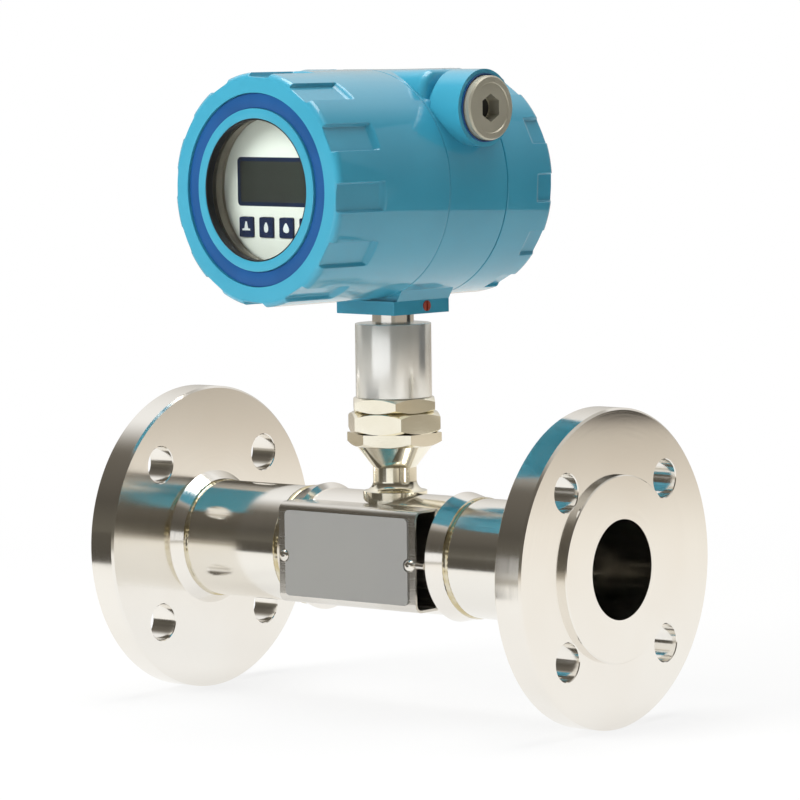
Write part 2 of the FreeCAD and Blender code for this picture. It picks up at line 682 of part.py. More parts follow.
def housing_body():
    """Barrel with a threaded neck each side, a bulkhead, the neck block and two cable bosses."""
    front, back = -BARREL_FRONT, BARREL_BACK
    chamfer = SEAM_CHAMFER
    barrel = turned("y", [
        (front - THREAD_LENGTH, 0), (front - THREAD_LENGTH, NECK_R - 1), (front - THREAD_LENGTH + 1, NECK_R),
        (front, NECK_R), (front, HEAD_R - chamfer), (front + chamfer, HEAD_R), (back - chamfer, HEAD_R),
        (back, HEAD_R - chamfer), (back, NECK_R), (back + THREAD_LENGTH - 1, NECK_R),
        (back + THREAD_LENGTH, NECK_R - 1), (back + THREAD_LENGTH, 0),
    ])
    base = BLOCK_Z - HEAD_Z
    half = BLOCK_SIZE / 2
    step = base + BLOCK_HEIGHT
    plinth = block((-half, half), (-half, half), (base, step))
    flare = half + BLOCK_SHOULDER * 0.6
    shoulder = face_of(
        [(-half, base + 1), (half, base + 1), (half, step), (flare, step + BLOCK_SHOULDER),
         (-flare, step + BLOCK_SHOULDER), (-half, step)],
        lambda x, z: vec(x, front, z),
    ).extrude(vec(0, half - front, 0))
    boss = cable_boss()
    solid = joined([barrel, plinth, shoulder, cable_saddle(), boss, towards_inlet(boss)])
    web_front, web_back = -BULKHEAD_FRONT, -BULKHEAD_FRONT + BULKHEAD_THICKNESS
    chambers = [
        rod("y", front - THREAD_LENGTH - 1, web_front, NECK_BORE_R),
        rod("y", web_back, back + THREAD_LENGTH + 1, NECK_BORE_R),
        rod("y", web_front - 1, web_back + 1, 7.0, (0, NECK_BORE_R - 12)),
    ]
    socket = rod("z", base - 1, base + neck_socket() + 4, NIPPLE_R + SLIP_FIT)
    entry = turned("x", [
        (0, 0), (0, ENTRY_RELIEF / 2), (ENTRY_REACH - ENTRY_RECESS - ENTRY_THREAD, ENTRY_RELIEF / 2),
        (ENTRY_REACH - ENTRY_RECESS - ENTRY_THREAD, ENTRY_TAPPED / 2),
        (ENTRY_REACH - ENTRY_RECESS, ENTRY_TAPPED / 2), (ENTRY_REACH - ENTRY_RECESS, ENTRY_RECESS_R),
        (ENTRY_REACH + 1, ENTRY_RECESS_R), (ENTRY_REACH + 1, 0),
    ])
    entry.translate(vec(0, ENTRY_BACK, ENTRY_Z))
    screw_hole = rod("x", 0, half + 1, LOCK_SCREW / 2 + SLIP_FIT, lock_screw_place())
    return cut_all(solid, [*chambers, socket, entry, towards_inlet(entry), screw_hole])


def cable_saddle():
    """Round-shouldered saddle across the top of the barrel, between the cable bosses."""
    top = HEAD_R - 0.1
    front = ENTRY_BACK - ENTRY_BOSS_OD / 2 - SADDLE_WALL
    back = ENTRY_BACK + ENTRY_BOSS_OD / 2 + SADDLE_WALL
    shoulder = top - SADDLE_ROUND
    bend = SADDLE_ROUND * (1 - math.sqrt(0.5))
    section = face_of(
        [(front, 0), (back, 0), (back, shoulder), ((back - bend, top - bend), (back - SADDLE_ROUND, top)),
         (front + SADDLE_ROUND, top), ((front + bend, top - bend), (front, shoulder))],
        lambda y, z: vec(-SADDLE_HALF, y, z),
    )
    saddle = section.extrude(vec(2 * SADDLE_HALF, 0, 0))
    ends = [
        edge for edge in saddle.Edges
        if edge.BoundBox.XLength < CLEAR and edge.BoundBox.ZMin > 0 and edge.BoundBox.ZMax > shoulder
    ]
    return saddle.makeFillet(SADDLE_END_ROUND, ends)


def cable_boss():
    """Boss with a shallow neck where it leaves the saddle, outside the barrel only."""
    radius = ENTRY_BOSS_OD / 2
    groove = turned("x", [
        (SADDLE_HALF - SADDLE_END_ROUND, radius + 1), (SADDLE_HALF - SADDLE_END_ROUND, radius - NECK_GROOVE),
        (SADDLE_HALF + 1, radius - NECK_GROOVE), (SADDLE_HALF + NECK_GROOVE_LENGTH, radius),
        (SADDLE_HALF + NECK_GROOVE_LENGTH, radius + 1),
    ])
    groove.translate(vec(0, ENTRY_BACK, ENTRY_Z))
    barrel = rod("y", -HEAD_R, HEAD_R, HEAD_R)
    return rod("x", 0, ENTRY_REACH, radius, (ENTRY_BACK, ENTRY_Z)).cut(groove.cut(barrel))


def lock_screw_place():
    """Where the clamp screw's axis crosses the block: back from the stem and half way up."""
    return LOCK_SCREW_BACK, BLOCK_Z - HEAD_Z + BLOCK_HEIGHT * 0.55


def lock_screw():
    """Set screw whose point stops just short of the nipple."""
    half = BLOCK_SIZE / 2
    reach = math.sqrt(NIPPLE_R**2 - LOCK_SCREW_BACK**2) + 1.2
    screw = rod("x", reach, half + 0.4, LOCK_SCREW / 2, lock_screw_place())
    slot = block((half - 0.8, half + 1), (-0.5, 0.5), (-LOCK_SCREW, LOCK_SCREW))
    slot.translate(vec(0, *lock_screw_place()))
    return screw.cut(slot)


def plug_start():
    """Plane of the plug's seal face."""
    return ENTRY_REACH - ENTRY_RECESS + PLUG_SEAL


def conduit_plug():
    """Blanking plug with a hexagon socket, screwed into the right cable boss."""
    start = plug_start()
    head = PLUG_HEAD_R
    end = start + PLUG_HEAD
    shank = ENTRY_TAPPED / 2 - 0.05
    solid = turned("x", [
        (start - PLUG_SHANK, 0), (start - PLUG_SHANK, shank - 1), (start - PLUG_SHANK + 1, shank),
        (start, shank), (start, head), (end - 0.8, head), (end, head - 0.8), (end, head - 3.2),
        (end - 0.5, head - 3.6), (end - 0.5, 0),
    ])
    socket = hexagon(PLUG_SOCKET, 0, PLUG_SOCKET_DEPTH + 1, 0)
    socket.rotate(ORIGIN, ALONG["y"], 90)
    socket.translate(vec(end - PLUG_SOCKET_DEPTH, 0, 0))
    solid = solid.cut(socket)
    solid.translate(vec(0, ENTRY_BACK, ENTRY_Z))
    return solid


def plug_seal():
    """Flat ring between plug and boss."""
    ring = tube("x", plug_start() - PLUG_SEAL, plug_start(), PLUG_HEAD_R + 0.3, ENTRY_TAPPED / 2 + 0.4)
    ring.translate(vec(0, ENTRY_BACK, ENTRY_Z))
    return ring


def cover_pockets(start, length, slope_sign):
    """Grip pockets round a cover: flat floors, square sides and one sloped end."""
    floor = HEAD_R - POCKET_DEPTH
    half_width = floor * math.tan(math.radians(POCKET_ANGLE / 2))
    rise = POCKET_DEPTH + 2.0
    open_end = start - slope_sign * 5.0
    floor_end = start + slope_sign * (length - rise)
    top_end = start + slope_sign * length
    cutter = face_of(
        [(open_end, floor), (floor_end, floor), (top_end, floor + rise), (open_end, floor + rise)],
        lambda along, radius: vec(radius, along, -half_width),
    ).extrude(vec(0, 0, 2 * half_width))
    return patterned(cutter, "y", POCKET_COUNT, -POCKET_FIRST)


def front_cover():
    """Screwed cover with the window lip, the colour ring's groove and grip pockets."""
    front = COVER_FRONT
    seam = -BARREL_FRONT - SEAM_GAP
    outer = HEAD_R
    thread = NECK_R + SCREW_FIT
    thread_end = seam - THREAD_LENGTH - 0.5
    bend = RIM_ROUND * (1 - math.sqrt(0.5))
    solid = turned("y", [
        (front, LIP_R), (front, RING_IN), (front + COLOUR_RING_DEPTH + COLOUR_RING_SHEET, RING_IN),
        (front + COLOUR_RING_DEPTH + COLOUR_RING_SHEET, RING_OUT), (front, RING_OUT),
        (front, outer - RIM_ROUND), ((front + bend, outer - bend), (front + RIM_ROUND, outer)),
        (seam - SEAM_CHAMFER, outer), (seam, outer - SEAM_CHAMFER), (seam, thread), (thread_end, thread),
        (thread_end - 3, CAVITY_R), (RETAINER_BACK, CAVITY_R), (RETAINER_BACK, RETAINER_R + 0.1),
        (GLASS_BACK, RETAINER_R + 0.1), (GLASS_BACK, GLASS_R + 0.1), (front + BEZEL_LIP, GLASS_R + 0.1),
        (front + BEZEL_LIP, LIP_R),
    ])
    groove = seal_groove(seam, -1)
    return cut_all(solid, [*cover_pockets(front, FRONT_POCKET, 1), groove])


def seal_groove(seam, inwards):
    """Groove for the O-ring in a cover's end face."""
    low, high = sorted([seam - inwards, seam + inwards * (SEAL_SECTION + 0.1 - SEAM_GAP)])
    return tube("y", low, high, SEAL_R + SEAL_GROOVE / 2, SEAL_R - SEAL_GROOVE / 2)


def rear_cover():
    """Blind screwed cover with grip pockets round its end."""
    end = COVER_BACK
    seam = BARREL_BACK + SEAM_GAP
    outer = HEAD_R
    thread = NECK_R + SCREW_FIT
    thread_end = seam + THREAD_LENGTH + 0.5
    solid = turned("y", [
        (seam, thread), (thread_end, thread), (thread_end + 2, CAVITY_R), (end - REAR_WALL, CAVITY_R),
        (end - REAR_WALL, 0), (end, 0), (end, outer - REAR_CHAMFER), (end - REAR_CHAMFER, outer),
        (seam + SEAM_CHAMFER, outer), (seam, outer - SEAM_CHAMFER),
    ])
    return cut_all(solid, [*cover_pockets(end, REAR_POCKET, -1), seal_groove(seam, 1)])


def cover_seal(centre):
    """Seal ring of eight-sided section carried in a cover's groove."""
    half, flat = SEAL_SECTION / 2, SEAL_SECTION / 2 * math.tan(math.pi / 8)
    return turned("y", [
        (centre - half, SEAL_R - flat), (centre - flat, SEAL_R - half), (centre + flat, SEAL_R - half),
        (centre + half, SEAL_R - flat), (centre + half, SEAL_R + flat), (centre + flat, SEAL_R + half),
        (centre - flat, SEAL_R + half), (centre - half, SEAL_R + flat),
    ])


def window_gasket():
    """Angle-section gasket: lines the opening and cushions the glass."""
    front = COVER_FRONT + 0.3
    seat = COVER_FRONT + BEZEL_LIP
    return turned("y", [
        (front, WINDOW_R), (front, LIP_R - 0.02), (seat + 0.02, LIP_R - 0.02), (seat + 0.02, GLASS_R - 0.2),
        (seat + GASKET - 0.02, GLASS_R - 0.2), (seat + GASKET - 0.02, WINDOW_R),
    ])


def glass_retaining_ring():
    """Threaded ring that holds the glass from inside, with two spanner holes."""
    ring = tube("y", GLASS_BACK + 0.05, RETAINER_BACK, RETAINER_R, GLASS_R - RETAINER_WIDTH + 2)
    places = on_ring(GLASS_R - 1, 2, 0)
    holes = [rod("y", RETAINER_BACK - 2.0, RETAINER_BACK + 1, 1.2, place) for place in places]
    return cut_all(ring, holes)


def window_ring():
    """Flat colour ring in the groove round the window."""
    floor = COVER_FRONT + COLOUR_RING_DEPTH + COLOUR_RING_SHEET
    return tube("y", floor - COLOUR_RING_SHEET, floor - 0.02, RING_OUT - 0.1, RING_IN + 0.1)


def key_place(index):
    """Centre of a key on the plate, as (across, up)."""
    return (index - (KEY_COUNT - 1) / 2) * KEY_PITCH, -KEY_BELOW_AXIS


def flat_box(centre, width, height, start, end):
    """Box across the head's axis, centred at (across, up)."""
    x, z = centre
    return block((x - width / 2, x + width / 2), (start, end), (z - height / 2, z + height / 2))


def rounded_box(centre, width, height, start, end, radius):
    """The same with the four edges along the axis rounded."""
    solid = flat_box(centre, width, height, start, end)
    edges = [edge for edge in solid.Edges if abs(edge.tangentAt(edge.FirstParameter).y) > 0.99]
    return solid.makeFillet(radius, edges)


def display_housing():
    """Round can with a broad rim that frames the display plate."""
    inner = PLATE_R - CAN_LEDGE
    bend = 0.6
    return turned("y", [
        (CAN_FRONT, PLATE_R + 0.1 + bend), (CAN_FRONT, CAN_R - bend), (CAN_FRONT + bend, CAN_R),
        (CAN_BACK, CAN_R), (CAN_BACK, 0), (CAN_BACK - CAN_FLOOR, 0), (CAN_BACK - CAN_FLOOR, inner),
        (PLATE_BACK, inner), (PLATE_BACK, PLATE_R + 0.1), (CAN_FRONT + bend, PLATE_R + 0.1),
    ])


def display_plate():
    """Front plate with the display's window and four key openings."""
    disc = rod("y", PLATE_FRONT, PLATE_BACK - 0.02, PLATE_R)
    window = rounded_box(
        (0, LCD_ABOVE_AXIS), LCD_WIDTH, LCD_HEIGHT, PLATE_FRONT - 1, PLATE_BACK + 1, 1.5
    )
    openings = [
        rounded_box(
            key_place(index), KEY_WIDTH + 2 * KEY_GAP, KEY_HEIGHT + 2 * KEY_GAP,
            PLATE_FRONT - 1, PLATE_BACK + 1, 1.0,
        )
        for index in range(KEY_COUNT)
    ]
    return cut_all(disc, [window, *openings])


def board_face():
    """Front of the display board, which lies on the can's floor."""
    return CAN_BACK - CAN_FLOOR - BOARD_THICKNESS - 0.02


def display_board():
    """Round board on the floor of the can."""
    return rod("y", board_face(), CAN_BACK - CAN_FLOOR - 0.02, PLATE_R - CAN_LEDGE - 0.2)


def lcd_module():
    """Display block on the board; its glass fills the plate's window."""
    centre = (0, LCD_ABOVE_AXIS)
    frame = 2 * LCD_FRAME
    body = flat_box(
        centre, LCD_WIDTH + frame, LCD_HEIGHT + frame / 2, PLATE_BACK + 0.1, board_face() - 0.02
    )
    glass = rounded_box(
        centre, LCD_WIDTH - 0.2, LCD_HEIGHT - 0.2, PLATE_FRONT + 0.4, PLATE_BACK + 1, 1.4
    )
    return joined([body, glass])


def key(index):
    """Key cap with a flange behind the plate and a plunger above its switch."""
    centre = key_place(index)
    cap = rounded_box(centre, KEY_WIDTH, KEY_HEIGHT, PLATE_FRONT - KEY_PROUD, PLATE_BACK + 0.5, 0.9)
    flange = flat_box(centre, KEY_WIDTH + 1.6, KEY_HEIGHT - 3.0, PLATE_BACK + 0.2, PLATE_BACK + 1.0)
    plunger = rod("y", PLATE_BACK + 0.5, switch_top() - KEY_TRAVEL - 0.1, 1.6, centre)
    return joined([cap, flange, plunger])


def switch_top():
    """Front of the switches' buttons."""
    return board_face() - 6.0


def key_switch(index):
    """Push switch under a key."""
    x, z = key_place(index)
    body = flat_box((x, z), 6.0, 6.0, board_face() - 4.0, board_face() - 0.02)
    return joined([body, rod("y", switch_top(), board_face() - 3.0, 1.7, (x, z))])


def main_board():
    """Main board between the two sets of standoffs, with its larger components."""
    back = MAIN_BOARD_FRONT + BOARD_THICKNESS
    disc = rod("y", MAIN_BOARD_FRONT, back, CAN_R - 1.0)
    relay = flat_box((0, 9), 19, 15, MAIN_BOARD_FRONT - 9, MAIN_BOARD_FRONT + 0.5)
    chip = flat_box((0, -12), 14, 14, MAIN_BOARD_FRONT - 2, MAIN_BOARD_FRONT + 0.5)
    caps = [rod("y", MAIN_BOARD_FRONT - 11, MAIN_BOARD_FRONT + 0.5, 4, (x, -1)) for x in (-17, 17)]
    return joined([disc, relay, chip, *caps])


def standoffs(start, end, first):
    """Pillars between two faces, as separate solids."""
    places = on_ring(CAN_R - 11.0, STANDOFF_COUNT, first)
    return [rod("y", start, end, STANDOFF_DIAMETER / 2, place) for place in places]


def terminal_length():
    """Length of the terminal block."""
    return TERMINAL_COUNT * TERMINAL_PITCH + 4.0


def terminal_places():
    """Centres of the terminal screws along the block."""
    return [(index - (TERMINAL_COUNT - 1) / 2) * TERMINAL_PITCH for index in range(TERMINAL_COUNT)]


def terminal_face():
    """Rear face of the terminal block."""
    return -BULKHEAD_FRONT + BULKHEAD_THICKNESS + TERMINAL_DEPTH


def terminal_block():
    """Block on the rear of the bulkhead, with screw wells and wire entries."""
    start = -BULKHEAD_FRONT + BULKHEAD_THICKNESS + 0.02
    solid = flat_box((0, 0), terminal_length(), TERMINAL_HEIGHT, start, terminal_face())
    wells = [
        rod("y", terminal_face() - 6, terminal_face() + 1, TERMINAL_SCREW / 2 + 0.3, (x, 2))
        for x in terminal_places()
    ]
    entries = [
        rod("z", -TERMINAL_HEIGHT / 2 - 1, -TERMINAL_HEIGHT / 2 + 6, 1.9, (x, terminal_face() - 8))
        for x in terminal_places()
    ]
    return cut_all(solid, [*wells, *entries])


def terminal_screw(place):
    """Slotted clamp screw in its well."""
    head = rod("y", terminal_face() - 5.98, terminal_face() - 1.5, TERMINAL_SCREW / 2, (place, 2))
    slot = block(
        (place - 3, place + 3), (terminal_face() - 2.5, terminal_face()), (1.6, 2.4)
    )
    return head.cut(slot)


# --- the whole meter -------------------------------------------------------------------


def flow_tube_parts():
    """Pieces drawn about mid-length, by node name."""
    pieces = {
        "centre_body": centre_body(),
        "rotor": rotor(),
        "rotor_shaft": rotor_shaft(),
        "nameplate_bracket": nameplate_bracket(),
        "nameplate": nameplate(),
        "nameplate_screws": Part.makeCompound([nameplate_screw(place) for place in rivet_places()]),
        "pickup_boss": pickup_boss(),
        "pickup_coil": pickup_coil(),
        "union_nut": union_nut(),
        "stem_collar": stem_collar(),
        "stem_sleeve": stem_sleeve(),
        "sleeve_ring": sleeve_ring(),
        "neck_nipple": neck_nipple(),
    }
    sided = {
        "flange": outlet_flange(),
        "pipe": outlet_pipe(),
        "straightener": outlet_straightener(),
        "bush": outlet_bush(),
        "retaining_ring": outlet_retaining_ring(),
    }
    for name, shape in sided.items():
        pieces["outlet_" + name] = shape
        pieces["inlet_" + name] = towards_inlet(shape)
    return {name: at_middle(shape) for name, shape in pieces.items()}


def head_parts():
    """Pieces of the head, by node name."""
    web_front = -BULKHEAD_FRONT
    seal_lift = SEAL_SECTION / 2 + 0.05
    pieces = {
        "housing_body": housing_body(),
        "lock_screw": lock_screw(),
        "conduit_plug": conduit_plug(),
        "plug_seal": plug_seal(),
        "front_cover": front_cover(),
        "window_gasket": window_gasket(),
        "window_glass": rod("y", GLASS_FRONT, GLASS_BACK, GLASS_R),
        "glass_retaining_ring": glass_retaining_ring(),
        "window_ring": window_ring(),
        "front_cover_seal": cover_seal(-BARREL_FRONT - seal_lift),
        "rear_cover": rear_cover(),
        "rear_cover_seal": cover_seal(BARREL_BACK + seal_lift),
        "display_housing": display_housing(),
        "display_plate": display_plate(),
        "display_board": display_board(),
        "lcd_module": lcd_module(),
        "key_switches": Part.makeCompound([key_switch(index) for index in range(KEY_COUNT)]),
        "main_board": main_board(),
        "board_standoffs": Part.makeCompound(
            standoffs(MAIN_BOARD_FRONT + BOARD_THICKNESS, web_front, 45.0)
        ),
        "display_standoffs": Part.makeCompound(standoffs(CAN_BACK, MAIN_BOARD_FRONT, 45.0)),
        "terminal_block": terminal_block(),
        "terminal_screws": Part.makeCompound([terminal_screw(place) for place in terminal_places()]),
    }
    for index in range(KEY_COUNT):
        pieces["key_" + str(index + 1)] = key(index)
    return {name: on_stem(shape) for name, shape in pieces.items()}


def main():
    """Writes each piece to its own STEP file."""
    os.makedirs("parts", exist_ok=True)
    for name, shape in {**flow_tube_parts(), **head_parts()}.items():
        shape.exportStep(os.path.join("parts", name + ".step"))


main()
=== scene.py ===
"""Turbine flow meter: finishes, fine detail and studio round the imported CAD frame."""
import json
import logging
import math
from dataclasses import dataclass, field
from enum import Enum
from typing import Optional

import bpy
import numpy as np
from mathutils import Euler, Matrix, Vector


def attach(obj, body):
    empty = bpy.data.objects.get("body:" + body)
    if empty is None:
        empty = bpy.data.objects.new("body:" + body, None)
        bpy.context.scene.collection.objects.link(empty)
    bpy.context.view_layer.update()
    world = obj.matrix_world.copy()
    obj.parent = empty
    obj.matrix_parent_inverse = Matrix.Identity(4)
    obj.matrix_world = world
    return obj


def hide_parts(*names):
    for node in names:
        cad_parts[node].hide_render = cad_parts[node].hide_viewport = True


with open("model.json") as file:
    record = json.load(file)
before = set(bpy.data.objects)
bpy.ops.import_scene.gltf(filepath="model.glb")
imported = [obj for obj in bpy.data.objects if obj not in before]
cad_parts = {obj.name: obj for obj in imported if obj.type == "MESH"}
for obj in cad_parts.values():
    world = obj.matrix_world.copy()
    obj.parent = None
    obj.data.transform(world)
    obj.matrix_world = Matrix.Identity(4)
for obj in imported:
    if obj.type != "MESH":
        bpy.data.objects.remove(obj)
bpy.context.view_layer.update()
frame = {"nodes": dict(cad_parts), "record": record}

MM = 0.001
LOG = logging.getLogger("flow_meter")


class Axis(Enum):
    """Local frames of the meter: origin in mm, then turns in degrees; local X is the axis."""

    FLOW = ((134.0, 0.0, 0.0), (0.0, 0.0, 0.0))
    STEM = ((134.0, 0.0, 0.0), (0.0, -90.0, 0.0))
    HEAD = ((134.0, 0.0, 177.003), (0.0, 0.0, 85.0))
    ENTRY = ((134.2615, 2.9886, 213.306), (0.0, 0.0, -5.0))
    DISPLAY = ((134.0, 0.0, 177.003), (90.0, 0.0, -5.0))

    def origin(self) -> tuple:
        """Origin in mm."""
        return self.value[0]

    def euler(self) -> Euler:
        """Turn of the frame."""
        return Euler([math.radians(angle) for angle in self.value[1]], "XYZ")

    def to_world(self, points: np.ndarray) -> np.ndarray:
        """Local mm to world metres: turn times point, plus origin.

        Args:
            points: array whose last axis is x, y, z in mm.

        Returns:
            The same array in world metres.
        """
        turn = np.array(self.euler().to_matrix())
        return (points @ turn.T + np.array(self.origin())) * MM


def linear(code: str) -> tuple:
    """sRGB hex to linear RGBA: c/12.92 below 0.04045, else ((c + 0.055)/1.055)^2.4.

    Args:
        code: six hex digits after a hash.

    Returns:
        Four linear values.
    """
    srgb = [int(code[i:i + 2], 16) / 255 for i in (1, 3, 5)]
    return (*[c / 12.92 if c <= 0.04045 else ((c + 0.055) / 1.055) ** 2.4 for c in srgb], 1.0)


def add_node(tree: bpy.types.NodeTree, kind: str, inputs: Optional[dict] = None,
             **settings: object) -> bpy.types.Node:
    """Adds a node, sets its properties, then fills or links its inputs.

    Args:
        tree: tree that takes the node.
        kind: the node's type name.
        inputs: socket name or index to a value or an output socket.
        **settings: properties of the node.

    Returns:
        The new node.
    """
    made = tree.nodes.new(kind)
    for key, value in settings.items():
        setattr(made, key, value)
    for key, value in (inputs or {}).items():
        if isinstance(value, bpy.types.NodeSocket):
            tree.links.new(value, made.inputs[key])
        else:
            made.inputs[key].default_value = value
    return made


def new_material(name: str) -> tuple:
    """Empty node material.

    Args:
        name: the material's name.

    Returns:
        The material and its node tree, with no nodes in it.
    """
    material = bpy.data.materials.new(name)
    material.use_nodes = True
    material.node_tree.nodes.clear()
    return material, material.node_tree


# --- finishes ------------------------------------------------------------------------------------


def two_tones(tree: bpy.types.NodeTree, place: bpy.types.NodeSocket, size: float, colour: str,
              shade: str) -> bpy.types.NodeSocket:
    """Two near tones in soft patches: slow noise, taken by smoothstep from one tone to the other.

    Args:
        tree: tree of the material.
        place: socket with Object coordinates.
        size: width of the patches in mm.
        colour: sRGB hex of the main tone.
        shade: sRGB hex of the tone that handling leaves.

    Returns:
        The socket of the mixed colour.
    """
    patches = add_node(tree, "ShaderNodeTexNoise", {
        "Vector": place, "Scale": 1 / (size * MM), "Detail": 2.0}).outputs["Fac"]
    share = add_node(tree, "ShaderNodeMapRange", {
        "Value": patches, "From Min": 0.35, "From Max": 0.65}, interpolation_type="SMOOTHSTEP")
    return add_node(tree, "ShaderNodeMix", {
        0: share.outputs[0], 6: linear(colour), 7: linear(shade)}, data_type="RGBA").outputs[2]


@dataclass(frozen=True)
class Metal:
    """Machined, drawn or plated metal whose tool marks follow an axis.

    Marks run round the axis when turned is set and along it when it isn't. Real tool marks lie
    about 0.1 mm apart, too fine to show, so they are drawn 0.25 to 0.6 mm apart. Mark, depth
    and patch are in mm; shade is the tone that handling leaves in soft patches; spread is how
    far the marks move the roughness.
    """

    name: str
    colour: str
    shade: str
    roughness: float
    spread: float = 0.05
    axis: Axis = Axis.FLOW
    turned: bool = True
    mark: float = 0.35
    depth: float = 0.002
    patch: float = 24.0

    def material(self) -> bpy.types.Material:
        """Builds the material: marks are noise stretched 60 to 1 along the cut.

        Returns:
            The material, with the marks as relief and as a change of roughness.
        """
        material, tree = new_material(self.name)
        place = add_node(tree, "ShaderNodeTexCoord").outputs["Object"]
        local = add_node(tree, "ShaderNodeMapping", {
            "Vector": place, "Location": [c * MM for c in self.axis.origin()],
            "Rotation": self.axis.euler()}, vector_type="TEXTURE").outputs[0]
        parts = add_node(tree, "ShaderNodeSeparateXYZ", {0: local})
        fine = 1 / (self.mark * MM)
        slow = fine / 60
        if self.turned:
            flat = add_node(tree, "ShaderNodeCombineXYZ", {1: parts.outputs[1], 2: parts.outputs[2]})
            radius = add_node(tree, "ShaderNodeVectorMath", {0: flat.outputs[0]}, operation="LENGTH")
            across = add_node(tree, "ShaderNodeCombineXYZ", {
                0: parts.outputs[0], 1: radius.outputs["Value"], 2: parts.outputs[1]})
            scale = (fine, fine, slow)
        else:
            across = add_node(tree, "ShaderNodeCombineXYZ", {
                0: parts.outputs[0], 1: parts.outputs[1], 2: parts.outputs[2]})
            scale = (slow, fine, fine)
        stretched = add_node(tree, "ShaderNodeMapping", {0: across.outputs[0], "Scale": scale})
        marks = add_node(tree, "ShaderNodeTexNoise", {
            "Vector": stretched.outputs[0], "Scale": 1.0, "Detail": 3.0}).outputs["Fac"]
        tone = two_tones(tree, place, self.patch, self.colour, self.shade)
        rough = add_node(tree, "ShaderNodeMapRange", {
            "Value": marks, "From Min": 0.3, "From Max": 0.7,
            "To Min": self.roughness - self.spread, "To Max": self.roughness + self.spread})
        bump = add_node(tree, "ShaderNodeBump", {
            "Height": marks, "Distance": self.depth * MM, "Strength": 1.0})
        shader = add_node(tree, "ShaderNodeBsdfPrincipled", {
            "Base Color": tone, "Metallic": 1.0, "Roughness": rough.outputs[0],
            "Normal": bump.outputs[0]})
        add_node(tree, "ShaderNodeOutputMaterial", {"Surface": shader.outputs[0]})
        return material


@dataclass(frozen=True)
class Coating:
    """Paint, plastic, rubber or a satin metal skin: two near tones under a fine grain.

    Grain, depth and patch are in mm. The enamels' orange peel has its real width; the tooth of
    the other skins is finer than 0.1 mm and wouldn't show, so it is drawn 0.4 to 1.2 mm wide.
    Coat is the weight of a clear gloss. Metallic is the metal's share, and below 1 it makes a
    satin metal paler than a mirror.
    """

    name: str
    colour: str
    shade: str
    roughness: float
    grain: float
    depth: float
    coat: float = 0.0
    coat_roughness: float = 0.05
    coat_ior: float = 1.5
    metallic: float = 0.0
    patch: float = 30.0
    specular: float = 0.5

    def material(self) -> bpy.types.Material:
        """Builds the material: fine noise is the grain, as relief and as a change of roughness.

        Returns:
            The material, with a clear coat where the finish has one.
        """
        material, tree = new_material(self.name)
        place = add_node(tree, "ShaderNodeTexCoord").outputs["Object"]
        grain = add_node(tree, "ShaderNodeTexNoise", {
            "Vector": place, "Scale": 1 / (self.grain * MM), "Detail": 1.5}).outputs["Fac"]
        tone = two_tones(tree, place, self.patch, self.colour, self.shade)
        rough = add_node(tree, "ShaderNodeMapRange", {
            "Value": grain, "To Min": self.roughness * 0.9, "To Max": self.roughness * 1.1})
        bump = add_node(tree, "ShaderNodeBump", {
            "Height": grain, "Distance": self.depth * MM, "Strength": 1.0})
        shader = add_node(tree, "ShaderNodeBsdfPrincipled", {
            "Base Color": tone, "Metallic": self.metallic, "Roughness": rough.outputs[0],
            "Normal": bump.outputs[0], "Coat Weight": self.coat,
            "Coat Roughness": self.coat_roughness, "Coat IOR": self.coat_ior,
            "Specular IOR Level": self.specular})
        add_node(tree, "ShaderNodeOutputMaterial", {"Surface": shader.outputs[0]})
        return material


@dataclass(frozen=True)
class Glass:
    """Ground and polished plate glass: clear, with a faint ripple; its two sizes are in mm.

    The index is below plain glass's 1.52, so that the window mirrors less than bare glass.
    """

    name: str
    colour: str
    index: float = 1.38
    ripple: float = 18.0
    ripple_depth: float = 0.01

    def material(self) -> bpy.types.Material:
        """Builds the material: slow noise is a shallow ripple, and lamps shine straight through.

        Returns:
            The material, plain and clear to shadow and diffuse rays.
        """
        material, tree = new_material(self.name)
        place = add_node(tree, "ShaderNodeTexCoord").outputs["Object"]
        wave = add_node(tree, "ShaderNodeTexNoise", {
            "Vector": place, "Scale": 1 / (self.ripple * MM), "Detail": 0.0}).outputs["Fac"]
        bump = add_node(tree, "ShaderNodeBump", {"Height": wave, "Distance": self.ripple_depth * MM})
        shader = add_node(tree, "ShaderNodeBsdfPrincipled", {
            "Base Color": linear(self.colour), "Roughness": 0.0, "IOR": self.index,
            "Transmission Weight": 1.0, "Normal": bump.outputs[0]})
        path = add_node(tree, "ShaderNodeLightPath")
        lit = add_node(tree, "ShaderNodeMath", {
            0: path.outputs["Is Shadow Ray"], 1: path.outputs["Is Diffuse Ray"]}, operation="MAXIMUM")
        through = add_node(tree, "ShaderNodeBsdfTransparent", {"Color": linear(self.colour)})
        both = add_node(tree, "ShaderNodeMixShader", {
            0: lit.outputs[0], 1: shader.outputs[0], 2: through.outputs[0]})
        add_node(tree, "ShaderNodeOutputMaterial", {"Surface": both.outputs[0]})
        return material


